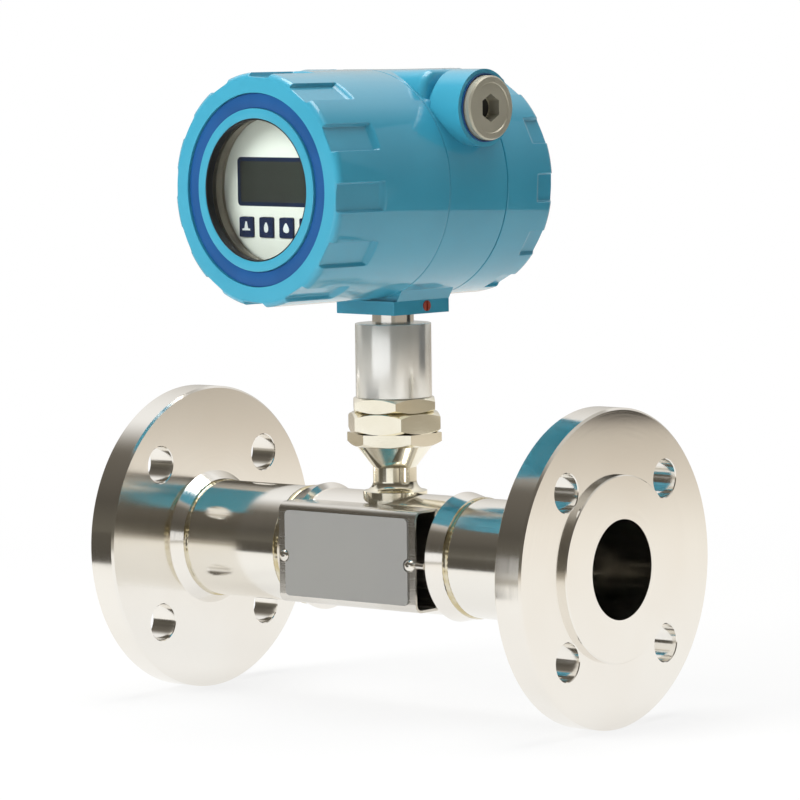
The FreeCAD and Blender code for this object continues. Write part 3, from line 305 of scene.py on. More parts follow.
def finishes() -> dict:
    """The finish of each material slot.

    Returns:
        Slot name to finish.
    """
    flow, stem, head = Axis.FLOW, Axis.STEM, Axis.HEAD
    return {
        # stainless steel faced in a lathe, then polished: fine rings over a soft mirror
        "stainless_turned": Metal(
            "turned_stainless", "#f3f0ea", "#f1ede6", 0.13, 0.03, flow, True, 0.5, 0.0006, 60),
        # drawn stainless tube, buffed round: nearly a mirror with faint rings
        "stainless_tube": Metal(
            "buffed_stainless_tube", "#f4f1eb", "#f1eee7", 0.13, 0.02, flow, True, 0.6, 0.0004, 60),
        # bead welded under shielding gas: bright, straw-coloured where the heat tinted it
        "weld_bead": Metal(
            "heat_tinted_weld", "#e2dccb", "#cdbf97", 0.20, 0.05, flow, True, 0.5, 0.002, 9),
        # drawn tube blasted with fine glass beads: silver-white, with soft upright reflections
        "stainless_sleeve": Coating(
            "satin_drawn_sleeve", "#fbfaf6", "#f4f3ee", 0.18, 0.8, 0.001, metallic=0.68),
        # cold-rolled stainless sheet: dimmer, with a faint grain along its length
        "stainless_sheet": Metal(
            "rolled_stainless_sheet", "#e6e3dd", "#dedad3", 0.24, 0.04, flow, False, 0.3, 0.0006, 40),
        # matt anodised aluminium: even grey with a fine tooth and no mirror
        "plate_metal": Coating(
            "matt_anodised_plate", "#908f8b", "#8e8d8a", 0.55, 0.6, 0.002, patch=60, specular=0.3),
        # cold-headed stainless screws: small bright domes
        "stainless_fastener": Metal(
            "headed_stainless", "#f0ece4", "#e6e2da", 0.16, 0.04, flow, False, 0.25, 0.0005),
        # bright nickel over brass: slightly warm and glossy
        "nickel_fitting": Metal(
            "bright_nickel", "#fcf7e6", "#f4eeda", 0.12, 0.03, stem, True, 0.4, 0.0005),
        # satin nickel over brass: greyer and duller, with a wide soft sheen
        "plug_nickel": Coating(
            "satin_nickel", "#bebaa9", "#b4b09f", 0.42, 0.8, 0.003, metallic=0.55),
        # thread-locking paint over the screw's end: dull red
        "lock_paint": Coating("thread_locking_paint", "#b4452c", "#a23c26", 0.45, 0.5, 0.02),
        # milled and bored stainless, left from the tool: greyer, with visible marks
        "stainless_inner": Metal(
            "machined_stainless", "#c9c6c0", "#bdbab3", 0.26, 0.06, flow, True, 0.4, 0.001),
        # turned stainless neck: bright, with fine rings
        "stainless_neck": Metal(
            "machined_neck", "#f0ede7", "#e8e5de", 0.15, 0.04, stem, True, 0.4, 0.0008),
        # milled magnetic stainless: darker grey, with marks along the flow
        "rotor_steel": Metal(
            "milled_magnetic_steel", "#bfbcb5", "#b2afa8", 0.28, 0.06, flow, False, 0.4, 0.001),
        # lapped tungsten carbide: dark grey, smooth and glossy
        "carbide": Metal("lapped_carbide", "#6c6c6e", "#5f5f62", 0.22, 0.03, flow, True, 0.3, 0.0005),
        # turned stainless can of the pickup: plain grey
        "pickup_shell": Metal(
            "pickup_stainless", "#c4c1ba", "#b8b5ae", 0.28, 0.05, stem, True, 0.3, 0.001),
        # two-pack enamel sprayed on a die casting: deep gloss with slight orange peel
        "housing_paint": Coating(
            "sky_blue_enamel", "#3f9fbb", "#3a99b5", 0.35, 2.8, 0.006, 1.0, 0.05, 1.5,
            patch=60, specular=0.2),
        # enamel brushed into the window's groove: deeper blue, with less gloss
        "ring_paint": Coating(
            "royal_blue_enamel", "#1e548e", "#1b4e85", 0.35, 2.4, 0.005, 0.5, 0.08, 1.5, specular=0.2),
        # toughened soda-lime glass: clear, with a trace of green and only a weak mirror
        "window_glass": Glass("toughened_glass", "#f8fcfb"),
        # moulded nitrile rubber: near black and dull
        "black_rubber": Coating("moulded_nitrile", "#1c1c1d", "#232324", 0.55, 0.4, 0.01),
        # moulded silicone rubber: dark blue and dull
        "blue_rubber": Coating("moulded_blue_rubber", "#10477f", "#0e3e70", 0.5, 0.4, 0.01),
        # bronze anodising on a turned ring: dull brown
        "retainer_metal": Coating(
            "bronze_anodised_retainer", "#8b8073", "#7d7367", 0.38, 0.5, 0.001, metallic=0.3),
        # pale bronze anodising on a turned can: satin, between grey and brown
        "bronze_anodised": Coating(
            "bronze_anodised_can", "#b9ad9a", "#aa9f8d", 0.34, 0.5, 0.001, metallic=0.35),
        # printed polyester film: smooth satin cream
        "cream_plastic": Coating(
            "cream_polyester_film", "#faf9f0", "#f5f4ea", 0.38, 0.7, 0.001, patch=50, specular=0.2),
        # etched polariser film over the display: dark green-grey with no mirror
        "display_glass": Coating(
            "display_polariser", "#2d322d", "#2a2e2a", 0.30, 1.2, 0.0005, specular=0.15),
        # screen-printed ink on film: flat navy
        "bezel_film": Coating(
            "navy_printed_border", "#0b2142", "#091d3b", 0.40, 0.7, 0.001, specular=0.05),
        # moulded silicone keys: navy with a fine matt tooth
        "navy_key": Coating(
            "moulded_navy_key", "#0c234a", "#0a1e42", 0.40, 0.5, 0.002, specular=0.05),
        # pad-printed ink: opaque white
        "icon_ink": Coating("white_key_ink", "#f2f4f2", "#e9ebe9", 0.5, 0.4, 0.002),
        # moulded polyamide: near black, dull
        "switch_plastic": Coating("moulded_switch", "#1e1e1e", "#262626", 0.45, 0.4, 0.004),
        # solder mask over copper and glass fibre: green with a thin gloss
        "circuit_board": Coating("solder_mask", "#1f6b3c", "#1a5f35", 0.32, 0.8, 0.004, 0.3),
        # moulded glass-filled nylon: mid grey, dull
        "grey_nylon": Coating("moulded_nylon", "#8e8f90", "#858687", 0.48, 0.5, 0.006),
        # brass turned from bar: yellow with bright rings
        "brass": Metal("turned_brass", "#d8b866", "#c9a95a", 0.22, 0.05, head, True, 0.25, 0.001),
    }


class Palette:
    """Builds each finish once and dresses pieces and CAD nodes with it."""

    def __init__(self) -> None:
        """Starts with no material built."""
        self.finishes = finishes()
        self.made: dict = {}

    def material(self, key: str) -> bpy.types.Material:
        """The material of a finish, built on its first use.

        Args:
            key: the finish's name.

        Returns:
            The material.
        """
        if key not in self.made:
            self.made[key] = self.finishes[key].material()
        return self.made[key]

    def dress(self, piece: bpy.types.Object, slot: str, key: str = "") -> None:
        """Gives a new piece the material of its slot's finish, or of another finish.

        Args:
            piece: the object.
            slot: slot of the record.
            key: finish to use when it isn't the slot's own.
        """
        piece.data.materials.clear()
        piece.data.materials.append(self.material(key or slot))

    def dress_node(self, name: str, slot: str, key: str = "") -> None:
        """Puts a finish on a CAD node's own material slot.

        Args:
            name: the node.
            slot: slot of the record.
            key: finish to use when it isn't the slot's own.
        """
        node = frame["nodes"][name]
        for held in node.material_slots:
            held.link = "OBJECT"
            held.material = self.material(key or slot)


# --- surfaces ------------------------------------------------------------------------------------


def softened(profile: np.ndarray, radius: float, closed: bool = True, count: int = 4) -> np.ndarray:
    """Rounds a profile's corners with curves (1-t)^2 a + 2t(1-t) corner + t^2 b.

    Args:
        profile: corners, one row each.
        radius: distance from corner to each curve's end, at most 0.45 of a side.
        closed: whether the last corner joins the first.
        count: points on each curve.

    Returns:
        The rounded profile's points.
    """
    before, after = np.roll(profile, 1, 0) - profile, np.roll(profile, -1, 0) - profile
    reach = [np.linalg.norm(way, axis=1, keepdims=True) for way in (before, after)]
    start = profile + before / reach[0] * np.minimum(radius, 0.45 * reach[0])
    end = profile + after / reach[1] * np.minimum(radius, 0.45 * reach[1])
    t = np.linspace(0, 1, count)[None, :, None]
    curves = (1 - t) ** 2 * start[:, None] + 2 * t * (1 - t) * profile[:, None] + t ** 2 * end[:, None]
    if closed:
        return curves.reshape(-1, profile.shape[1])
    return np.vstack([profile[:1], curves[1:-1].reshape(-1, profile.shape[1]), profile[-1:]])


def grid_faces(rows: int, cols: int, close_rows: bool, close_cols: bool) -> np.ndarray:
    """Quads between neighbouring rows and columns of a grid, counted row by row.

    Args:
        rows: number of rows.
        cols: number of columns.
        close_rows: whether the last row joins the first.
        close_cols: whether the last column joins the first.

    Returns:
        One face of four vertex numbers a row.
    """
    i = np.arange(rows if close_rows else rows - 1)[:, None]
    j = np.arange(cols if close_cols else cols - 1)[None, :]
    after, beside = (i + 1) % rows, (j + 1) % cols
    corners = [i * cols + j, after * cols + j, after * cols + beside, i * cols + beside]
    return np.stack(corners, -1).reshape(-1, 4)


def revolved(profile: np.ndarray, steps: int = 160, closed: bool = True) -> tuple:
    """Profile (along, radius) carried round local X: (along, r cos a, r sin a).

    Args:
        profile: points of the section; an open one has its two ends on the axis.
        steps: stations round the axis.
        closed: whether the section is a closed loop off the axis.

    Returns:
        Points and a list of faces.
    """
    angle = np.arange(steps) * 2 * math.pi / steps
    rings = profile if closed else profile[1:-1]
    along = np.repeat(rings[:, :1], steps, 1)
    radius = rings[:, 1:]
    points = np.stack([along, radius * np.cos(angle), radius * np.sin(angle)], -1).reshape(-1, 3)
    faces = grid_faces(len(rings), steps, closed, True).tolist()
    if not closed:
        poles = np.array([[profile[0, 0], 0, 0], [profile[-1, 0], 0, 0]])
        first, last, around = len(points), len(points) + 1, np.arange(steps)
        edge = (len(rings) - 1) * steps
        faces += np.stack([np.full(steps, first), around, (around + 1) % steps], -1).tolist()
        faces += np.stack([np.full(steps, last), edge + (around + 1) % steps, edge + around], -1).tolist()
        points = np.vstack([points, poles])
    return points, faces


def signed_volume(points: np.ndarray, faces: list) -> float:
    """Sum over fanned triangles of a . (b x c) / 6, positive when faces point outwards.

    Args:
        points: vertices.
        faces: vertex numbers of each face.

    Returns:
        The signed volume.
    """
    tris = np.array([[f[0], f[k], f[k + 1]] for f in faces for k in range(1, len(f) - 1)])
    a, b, c = points[tris[:, 0]], points[tris[:, 1]], points[tris[:, 2]]
    return float(np.einsum("ij,ij->i", a, np.cross(b, c)).sum() / 6)


def make_piece(name: str, points: np.ndarray, faces: list, axis: Axis, body: str, sharp: float = 32.0,
               outward: bool = True) -> bpy.types.Object:
    """Puts a surface into a mesh in the world frame and hangs it on a body.

    Args:
        name: the piece's name.
        points: points in the local frame, mm.
        faces: vertex numbers of each face.
        axis: local frame.
        body: CAD body that carries the piece.
        sharp: angle in degrees above which an edge stays crisp.
        outward: turns the faces so that the volume is positive.

    Returns:
        The new object.
    """
    if outward and signed_volume(points, faces) < 0:
        faces = [face[::-1] for face in faces]
    mesh = bpy.data.meshes.new(name)
    mesh.from_pydata(axis.to_world(points), [], faces)
    mesh.validate()
    mesh.shade_smooth()
    mesh.set_sharp_from_angle(angle=math.radians(sharp))
    piece = bpy.data.objects.new(name, mesh)
    bpy.context.scene.collection.objects.link(piece)
    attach(piece, body)
    LOG.info("made %s on %s", name, body)
    return piece


def weld_ring(along: float, radius: float, size: float, ripples: int, steps: int = 360) -> tuple:
    """Weld bead round local X: an oval carried round, whose size and place ripple.

    Size is multiplied by 1 + 0.10 |sin(ripples a / 2)| + 0.05 sin(7a + 1) at angle a, and the
    place moves along the axis by 0.12 sin(5a).

    Args:
        along: place on the axis, mm.
        radius: radius of the tube it lies on, mm.
        size: measure of the bead, mm: the oval is 1.5 of it half wide and 0.55 of it high.
        ripples: scales laid round the ring.
        steps: stations round the ring.

    Returns:
        Points and faces.
    """
    angle = np.arange(steps) * 2 * math.pi / steps
    turn = np.linspace(0, 2 * math.pi, 12, endpoint=False)
    scale = 1 + 0.10 * np.abs(np.sin(angle * ripples / 2)) + 0.05 * np.sin(7 * angle + 1)
    x = along + size * 1.5 * np.cos(turn)[:, None] * scale + 0.12 * np.sin(5 * angle)
    r = radius + size * 0.55 * np.sin(turn)[:, None] * scale
    points = np.stack([x, r * np.cos(angle), r * np.sin(angle)], -1).reshape(-1, 3)
    return points, grid_faces(12, steps, True, True).tolist()


def plate_from_outline(outline: np.ndarray, low: float, high: float) -> tuple:
    """Flat piece between two levels: the outline at each level, closed by sides and two caps.

    Args:
        outline: points of the outline.
        low: lower level.
        high: upper level.

    Returns:
        Points and faces.
    """
    count = len(outline)
    levels = [np.column_stack([outline, np.full(count, level)]) for level in (low, high)]
    sides = grid_faces(2, count, False, True).tolist()
    caps = [list(range(count))[::-1], [count + i for i in range(count)]]
    return np.vstack(levels), sides + caps


def rounded_rectangle(width: float, height: float, radius: float, count: int = 7) -> np.ndarray:
    """Outline of a rectangle whose corners are arcs: centre plus radius times (cos, sin).

    Args:
        width: size across.
        height: size up.
        radius: radius of the corners.
        count: points on each arc.

    Returns:
        Points of the outline, anticlockwise.
    """
    turn = np.linspace(0, math.pi / 2, count)
    corners = [(1, 1, 0), (-1, 1, 1), (-1, -1, 2), (1, -1, 3)]
    arcs = [np.column_stack([
        sx * (width / 2 - radius) + radius * np.cos(turn + q * math.pi / 2),
        sy * (height / 2 - radius) + radius * np.sin(turn + q * math.pi / 2)]) for sx, sy, q in corners]
    return np.vstack(arcs)


# --- flow tube -----------------------------------------------------------------------------------


@dataclass
class FlowTube:
    """Weld beads that join the flanges' hubs, the pipes and the centre body."""

    pipe_radius: float = 28.5
    body_half: float = 52.0
    flange_back: float = 24.0
    middle: float = 134.0
    bead: float = 1.1
    ripples: int = 64

    def build(self, palette: Palette) -> None:
        """Adds four beads: hub to pipe and pipe to body on each side.

        Args:
            palette: the finishes.
        """
        for side, name in ((-1, "inlet"), (1, "outlet")):
            places = {"hub": side * (self.middle - self.flange_back), "body": side * self.body_half}
            for joint, along in places.items():
                points, faces = weld_ring(along, self.pipe_radius, self.bead, self.ripples)
                piece = make_piece(f"{name}_{joint}_weld", points, faces, Axis.FLOW, "meter_body")
                palette.dress(piece, "stainless_tube", "weld_bead")


# --- stem ----------------------------------------------------------------------------------------


@dataclass
class Stem:
    """Turned sleeve round the neck between the nuts and the head."""

    sleeve_low: float = 74.7
    sleeve_top: float = 110.3
    sleeve_radius: float = 18.3
    wall: float = 3.0
    rim: float = 0.45

    def build(self, palette: Palette) -> None:
        """Adds the sleeve: a rectangle of its wall carried round, its rims rounded over.

        Args:
            palette: the finishes.
        """
        inner = self.sleeve_radius - self.wall
        section = np.array([
            (self.sleeve_low, inner), (self.sleeve_top, inner), (self.sleeve_top, self.sleeve_radius),
            (self.sleeve_low, self.sleeve_radius)])
        points, faces = revolved(softened(section, self.rim), 192)
        sleeve = make_piece("turned_sleeve", points, faces, Axis.STEM, "meter_body")
        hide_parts("stem_sleeve")
        palette.dress(sleeve, "stainless_tube", "stainless_sleeve")


# --- head ----------------------------------------------------------------------------------------


@dataclass
class Covers:
    """Screwed covers: rings of stations whose outer radius drops into twelve grip pockets."""

    radius: float = 54.603
    pockets: int = 12
    first: float = 3.0
    pocket_depth: float = 2.3
    pocket_half: float = 7.0
    edge: float = 0.45
    run_out: float = 2.0
    ramp_blend: float = 0.3
    floor_blend: float = 0.01
    floor_trim: float = 0.004
    front: float = -91.5
    front_seam: float = -17.2
    back: float = 56.4
    back_seam: float = 23.1
    front_pocket: float = 33.0
    rear_pocket: float = 14.5
    thread: float = 49.103
    cavity: float = 46.003
    thread_length: float = 15.5
    lip: float = 33.2
    ring_in: float = 37.9
    ring_out: float = 45.1
    ring_depth: float = 2.2
    ring_sheet: float = 1.0
    ring_gap: float = 0.12
    glass: float = 37.5
    glass_front: float = -88.3
    glass_back: float = -82.3
    retainer: float = 39.5
    retainer_back: float = -78.3
    front_rim: float = 3.3
    rear_rim: float = 3.2
    front_relief: float = 3.0
    rear_relief: float = 2.0
    rear_floor: float = 49.4
    rear_rings: tuple = (4.0, 30.0, 44.0)
    front_round: float = 0.35
    rear_round: float = 0.6
    crisp: float = 38.0

    def angles(self) -> np.ndarray:
        """Stations round a cover, close together at each pocket's sides.

        Returns:
            Angles in degrees, once round.
        """
        half, edge, sector_half = self.pocket_half, self.edge, 180 / self.pockets
        near = half + edge * np.array([-1.6, -1.0, -0.6, -0.3, 0.0, 0.3, 0.6, 1.0, 1.6])
        plain = np.linspace(near[-1] + 1.2, sector_half - 1.0, 4)
        right = np.concatenate([[0.0, 2.0, 4.0], near, plain])
        sector = np.concatenate([-right[:0:-1], right, [sector_half]])
        starts = self.first + np.arange(self.pockets) * 360 / self.pockets
        return (starts[:, None] + sector[None, :]).ravel()

    def cut(self, base: np.ndarray, away: np.ndarray, length: float) -> np.ndarray:
        """Radius with pockets: base, less a flat floor that slopes out at its end.

        The floor is (radius - depth + ramp) / cos(angle from the pocket's middle), where ramp
        grows one for one past length - depth - run-out. Ramp and depth are kept above zero by
        (x + sqrt(x^2 + blend)) / 2; the sides blend by smoothstep over the edge.

        Args:
            base: plain radius at each station.
            away: distance of each station from the cover's end.
            length: length of the pockets.

        Returns:
            Radius on a grid of stations by angles.
        """
        angle = self.angles()
        offset = (angle - self.first + 180 / self.pockets) % (360 / self.pockets) - 180 / self.pockets
        run = away - (length - self.pocket_depth - self.run_out)
        ramp = 0.5 * (run + np.sqrt(run ** 2 + self.ramp_blend))
        floor = (self.radius - self.pocket_depth + ramp)[:, None] / np.cos(np.radians(offset))
        depth = base[:, None] - floor
        depth = 0.5 * (depth + np.sqrt(depth ** 2 + self.floor_blend)) - self.floor_trim
        t = np.clip((self.pocket_half + self.edge - np.abs(offset)) / (2 * self.edge), 0, 1)
        return base[:, None] - np.maximum(depth, 0) * (t * t * (3 - 2 * t))

    def shell(self, section: np.ndarray, skin: np.ndarray, end: float, length: float) -> tuple:
        """Closed ring of stations: an inner section, then the skin's stations with pockets.

        Args:
            section: inner stations (along, radius) from the skin's end back to its start.
            skin: outer stations (along, radius).
            end: the cover's end on the axis, where the pockets start.
            length: length of the pockets.

        Returns:
            Points and faces.
        """
        angle = np.radians(self.angles())
        outer = self.cut(skin[:, 1], np.abs(skin[:, 0] - end), length)
        inner = np.repeat(section[:, 1:], len(angle), 1)
        r = np.vstack([outer, inner])
        x = np.repeat(np.concatenate([skin[:, 0], section[:, 0]])[:, None], len(angle), 1)
        points = np.stack([x, r * np.cos(angle), r * np.sin(angle)], -1).reshape(-1, 3)
        return points, grid_faces(len(r), len(angle), True, True).tolist()

    def skin_stations(self, end: float, seam: float, rim: float, length: float) -> np.ndarray:
        """Outer stations from the end's rim to the seam, closer where a pocket's floor slopes.

        The rim is a quarter circle: along = rim (1 - cos t), radius = radius - rim + rim sin t.

        Args:
            end: the cover's end on the axis.
            seam: its seam on the axis.
            rim: radius of the rolled rim.
            length: length of the pockets.

        Returns:
            Stations (along, radius) from the end to the seam.
        """
        way = 1 if seam > end else -1
        turn = np.linspace(0, math.pi / 2, 7)
        round_rim = np.column_stack([rim * (1 - np.cos(turn)), self.radius - rim + rim * np.sin(turn)])
        slope = length - self.pocket_depth - self.run_out
        runs = np.concatenate([
            np.linspace(rim + 0.6, slope - 1.5, 5), np.linspace(slope - 1.0, slope + 6.0, 15),
            [abs(seam - end) - 0.9]])
        plain = np.column_stack([runs, np.full(len(runs), self.radius)])
        lip = np.array([
            (abs(seam - end) - 0.5, self.radius), (abs(seam - end) - 0.15, self.radius - 0.12),
            (abs(seam - end), self.radius - 0.5)])
        skin = np.vstack([round_rim, plain, lip])
        return np.column_stack([end + way * skin[:, 0], skin[:, 1]])

    def build(self, palette: Palette) -> None:
        """Adds the front cover, its painted ring and the rear cover in place of their solids.

        Args:
            palette: the finishes.
        """
        skin = self.skin_stations(self.front, self.front_seam, self.front_rim, self.front_pocket)
        thread_end = self.front_seam - self.thread_length
        inner = np.array([
            (self.front_seam, self.thread), (thread_end, self.thread),
            (thread_end - self.front_relief, self.cavity), (self.retainer_back, self.cavity),
            (self.retainer_back, self.retainer), (self.glass_back, self.retainer),
            (self.glass_back, self.glass), (self.glass_front, self.glass),
            (self.glass_front, self.lip), (self.front, self.lip), (self.front, self.ring_in),
            (self.front + self.ring_depth, self.ring_in), (self.front + self.ring_depth, self.ring_out),
            (self.front, self.ring_out)])
        inner = softened(inner, self.front_round, closed=False)
        points, faces = self.shell(inner, skin, self.front, self.front_pocket)
        cover = make_piece("front_cover_casting", points, faces, Axis.HEAD, "front_cover", self.crisp)
        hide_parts("front_cover")
        palette.dress(cover, "housing_paint")
        self.build_ring(palette)
        self.build_rear(palette)

    def build_ring(self, palette: Palette) -> None:
        """Adds the painted ring in the front face's groove: a thin section carried round.

        Args:
            palette: the finishes.
        """
        high = self.front + self.ring_depth - 0.02
        low = self.front + self.ring_depth - self.ring_sheet
        inner, outer = self.ring_in + self.ring_gap, self.ring_out - self.ring_gap
        section = softened(np.array([(low, inner), (low, outer), (high, outer), (high, inner)]), 0.4)
        points, faces = revolved(section, 240)
        ring = make_piece("painted_ring", points, faces, Axis.HEAD, "front_cover")
        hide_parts("window_ring")
        palette.dress(ring, "ring_paint")

    def build_rear(self, palette: Palette) -> None:
        """Adds the blind rear cover: the same skin closed by a flat end on the axis.

        Args:
            palette: the finishes.
        """
        skin = self.skin_stations(self.back, self.back_seam, self.rear_rim, self.rear_pocket)
        angle = np.radians(self.angles())
        thread_end = self.back_seam + self.thread_length
        inner = np.array([
            (self.back_seam, self.thread), (thread_end, self.thread),
            (thread_end + self.rear_relief, self.cavity), (self.rear_floor, self.cavity),
            (self.rear_floor, self.rear_rings[0])])
        inner = softened(inner, self.rear_round, closed=False)
        outer = self.cut(skin[:, 1], np.abs(skin[:, 0] - self.back), self.rear_pocket)
        ends = np.array([(self.back, radius) for radius in self.rear_rings])
        stations = np.vstack([ends, skin, inner])
        r = np.vstack([
            np.repeat(ends[:, 1:], len(angle), 1), outer, np.repeat(inner[:, 1:], len(angle), 1)])
        x = np.repeat(stations[:, :1], len(angle), 1)
        points = np.stack([x, r * np.cos(angle), r * np.sin(angle)], -1).reshape(-1, 3)
        count = len(angle)
        faces = grid_faces(len(r), count, False, True).tolist()
        around = np.arange(count)
        last = (len(r) - 1) * count
        beside = (around + 1) % count
        poles = np.array([[self.back, 0, 0], [self.rear_floor, 0, 0]])
        faces += np.stack([beside, around, np.full(count, len(points))], -1).tolist()
        faces += np.stack([np.full(count, len(points) + 1), last + around, last + beside], -1).tolist()
        points = np.vstack([points, poles])
        cover = make_piece("rear_cover_casting", points, faces, Axis.HEAD, "rear_cover", self.crisp)
        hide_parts("rear_cover")
        palette.dress(cover, "housing_paint")


class Icon(Enum):
    """Plain signs on the four keys."""

    UP = 1
    DROP = 2
    LEAF = 3
    DOWN = 4


@dataclass
class Display:
    """Can with a stepped rim, printed border round the display and the signs on the keys."""

    can_radius: float = 40.003
    can_front: float = -76.6
    can_back: float = -59.1
    can_floor: float = 2.0
    can_ledge: float = 33.8
    can_round: float = 0.25
    can_crisp: float = 25.0
    band_shift: float = 0.4
    slope_width: float = 0.3
    slope_drop: float = 0.5
    plate_lip: float = 0.1
    plate_seat: float = 35.103
    plate_back: float = -73.6
    plate_front: float = -75.2
    width: float = 50.0
    height: float = 21.0
    above: float = 3.3
    border: float = 1.9
    border_corners: tuple = (2.2, 1.2)
    border_lift: float = 0.08
    film: float = 0.06
    key_front: float = -76.1
    key_below: float = 18.0
    key_pitch: float = 13.2
    ink: float = 0.05
    ink_root: float = 0.02

    def build_can(self, palette: Palette) -> None:
        """Adds the can: the rim falls from a flat outer band to a sloped inner band at the plate.

        Args:
            palette: the finishes.
        """
        step = (self.plate_seat + self.can_radius) / 2 + self.band_shift
        floor = self.can_back - self.can_floor
        rings = softened(np.array([
            (floor, 0.0), (floor, self.can_ledge), (self.plate_back, self.can_ledge),
            (self.plate_back, self.plate_seat), (self.plate_front - self.plate_lip, self.plate_seat),
            (self.can_front + self.slope_drop, step - self.slope_width), (self.can_front, step),
            (self.can_front, self.can_radius), (self.can_back, self.can_radius),
            (self.can_back, 0.0)]), self.can_round, closed=False)
        points, faces = revolved(rings, 240, closed=False)
        can = make_piece("display_can", points, faces, Axis.HEAD, "head", self.can_crisp)
        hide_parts("display_housing")
        palette.dress(can, "bronze_anodised")

    def icon_outline(self, icon: Icon) -> np.ndarray:
        """Outline of a sign about its key's centre.

        The drop and the leaf are ovals (a cos t (1 - k sin t), b sin t), narrower at the top.

        Args:
            icon: which sign.

        Returns:
            Points of the outline in mm.
        """
        t = np.linspace(0, 2 * math.pi, 40, endpoint=False)
        if icon is Icon.UP:
            return np.array([(-2.6, -1.6), (2.6, -1.6), (2.6, -0.8), (1.2, -0.6),
                             (0.5, 2.6), (-0.5, 2.6), (-1.2, -0.6), (-2.6, -0.8)])
        if icon is Icon.DROP:
            return np.column_stack([1.35 * np.cos(t) * (1 - 0.25 * np.sin(t)), 2.4 * np.sin(t)])
        if icon is Icon.LEAF:
            return np.column_stack([
                1.75 * np.cos(t) * (1 - 0.45 * np.sin(t)), 2.3 * np.sin(t) - 0.2 * np.cos(t)])
        return np.array([(0, -2.4), (2.3, 0.2), (0.9, 0.2), (0.9, 2.4),
                         (-0.9, 2.4), (-0.9, 0.2), (-2.3, 0.2)])

    def build(self, palette: Palette) -> None:
        """Adds the can, the border frame and the four signs.

        Args:
            palette: the finishes.
        """
        self.build_can(palette)
        outer, inner = (
            rounded_rectangle(self.width + grow, self.height + grow, corner)
            for grow, corner in zip((self.border, -self.border), self.border_corners))
        count, high = len(outer), -self.plate_front + self.border_lift
        low = high - self.film
        flat = [np.column_stack([ring, np.full(count, level)]) for ring, level in (
            (outer, high), (inner, high), (inner, low), (outer, low))]
        points = np.vstack(flat) + np.array([0, self.above, 0])
        border = make_piece("display_border", points, grid_faces(4, count, True, True).tolist(),
                            Axis.DISPLAY, "head")
        palette.dress(border, "navy_key", "bezel_film")
        for number, icon in enumerate(Icon):
            middle = np.array([(number - 1.5) * self.key_pitch, -self.key_below])
            points, faces = plate_from_outline(
                self.icon_outline(icon) + middle, -self.key_front - self.ink_root,
                -self.key_front + self.ink)
            sign = make_piece(
                f"key_sign_{number + 1}", points, faces, Axis.DISPLAY, f"key_{number + 1}")
            palette.dress(sign, "cream_plastic", "icon_ink")


@dataclass
class CablePlug:
    """Seal that stands in the gap round the plug's head, and a near-black disc at the foot of its socket
    that paints the shade of the socket's depth.
    """

    seat: float = 56.7
    crest: float = 59.1
    seal_radius: float = 15.5
    recess_radius: float = 16.2
    painted_shade_disc: float = 55.75
    painted_shade_radius: float = 5.3
    painted_shade_sheet: float = 0.08
    seal_gap: float = 0.03
    recess_gap: float = 0.06
    lip_round: float = 0.2

    def build(self, palette: Palette) -> None:
        """Adds the seal's ring and the painted-shade disc at the socket's foot, both turned about the
        entry's axis.

        Args:
            palette: the finishes.
        """
        low, high = self.seal_radius + self.seal_gap, self.recess_radius - self.recess_gap
        section = np.array([
            (self.seat, low), (self.crest, low), (self.crest, high), (self.seat, high)])
        points, faces = revolved(softened(section, self.lip_round), 128)
        seal = make_piece("plug_seal_lip", points, faces, Axis.ENTRY, "head")
        palette.dress(seal, "blue_rubber")
        # near-black disc at the bottom of the hex socket: painted shade for the depth of the socket
        top = self.painted_shade_disc + self.painted_shade_sheet
        disc = np.array([
            (self.painted_shade_disc, 0.0), (self.painted_shade_disc, self.painted_shade_radius), (top, self.painted_shade_radius), (top, 0.0)])
        points, faces = revolved(disc, 64, closed=False)
        painted_shade_disc = make_piece("socket_painted_shade", points, faces, Axis.ENTRY, "head")
        palette.dress(painted_shade_disc, "switch_plastic")


# --- carried-over CAD pieces ---------------------------------------------------------------------


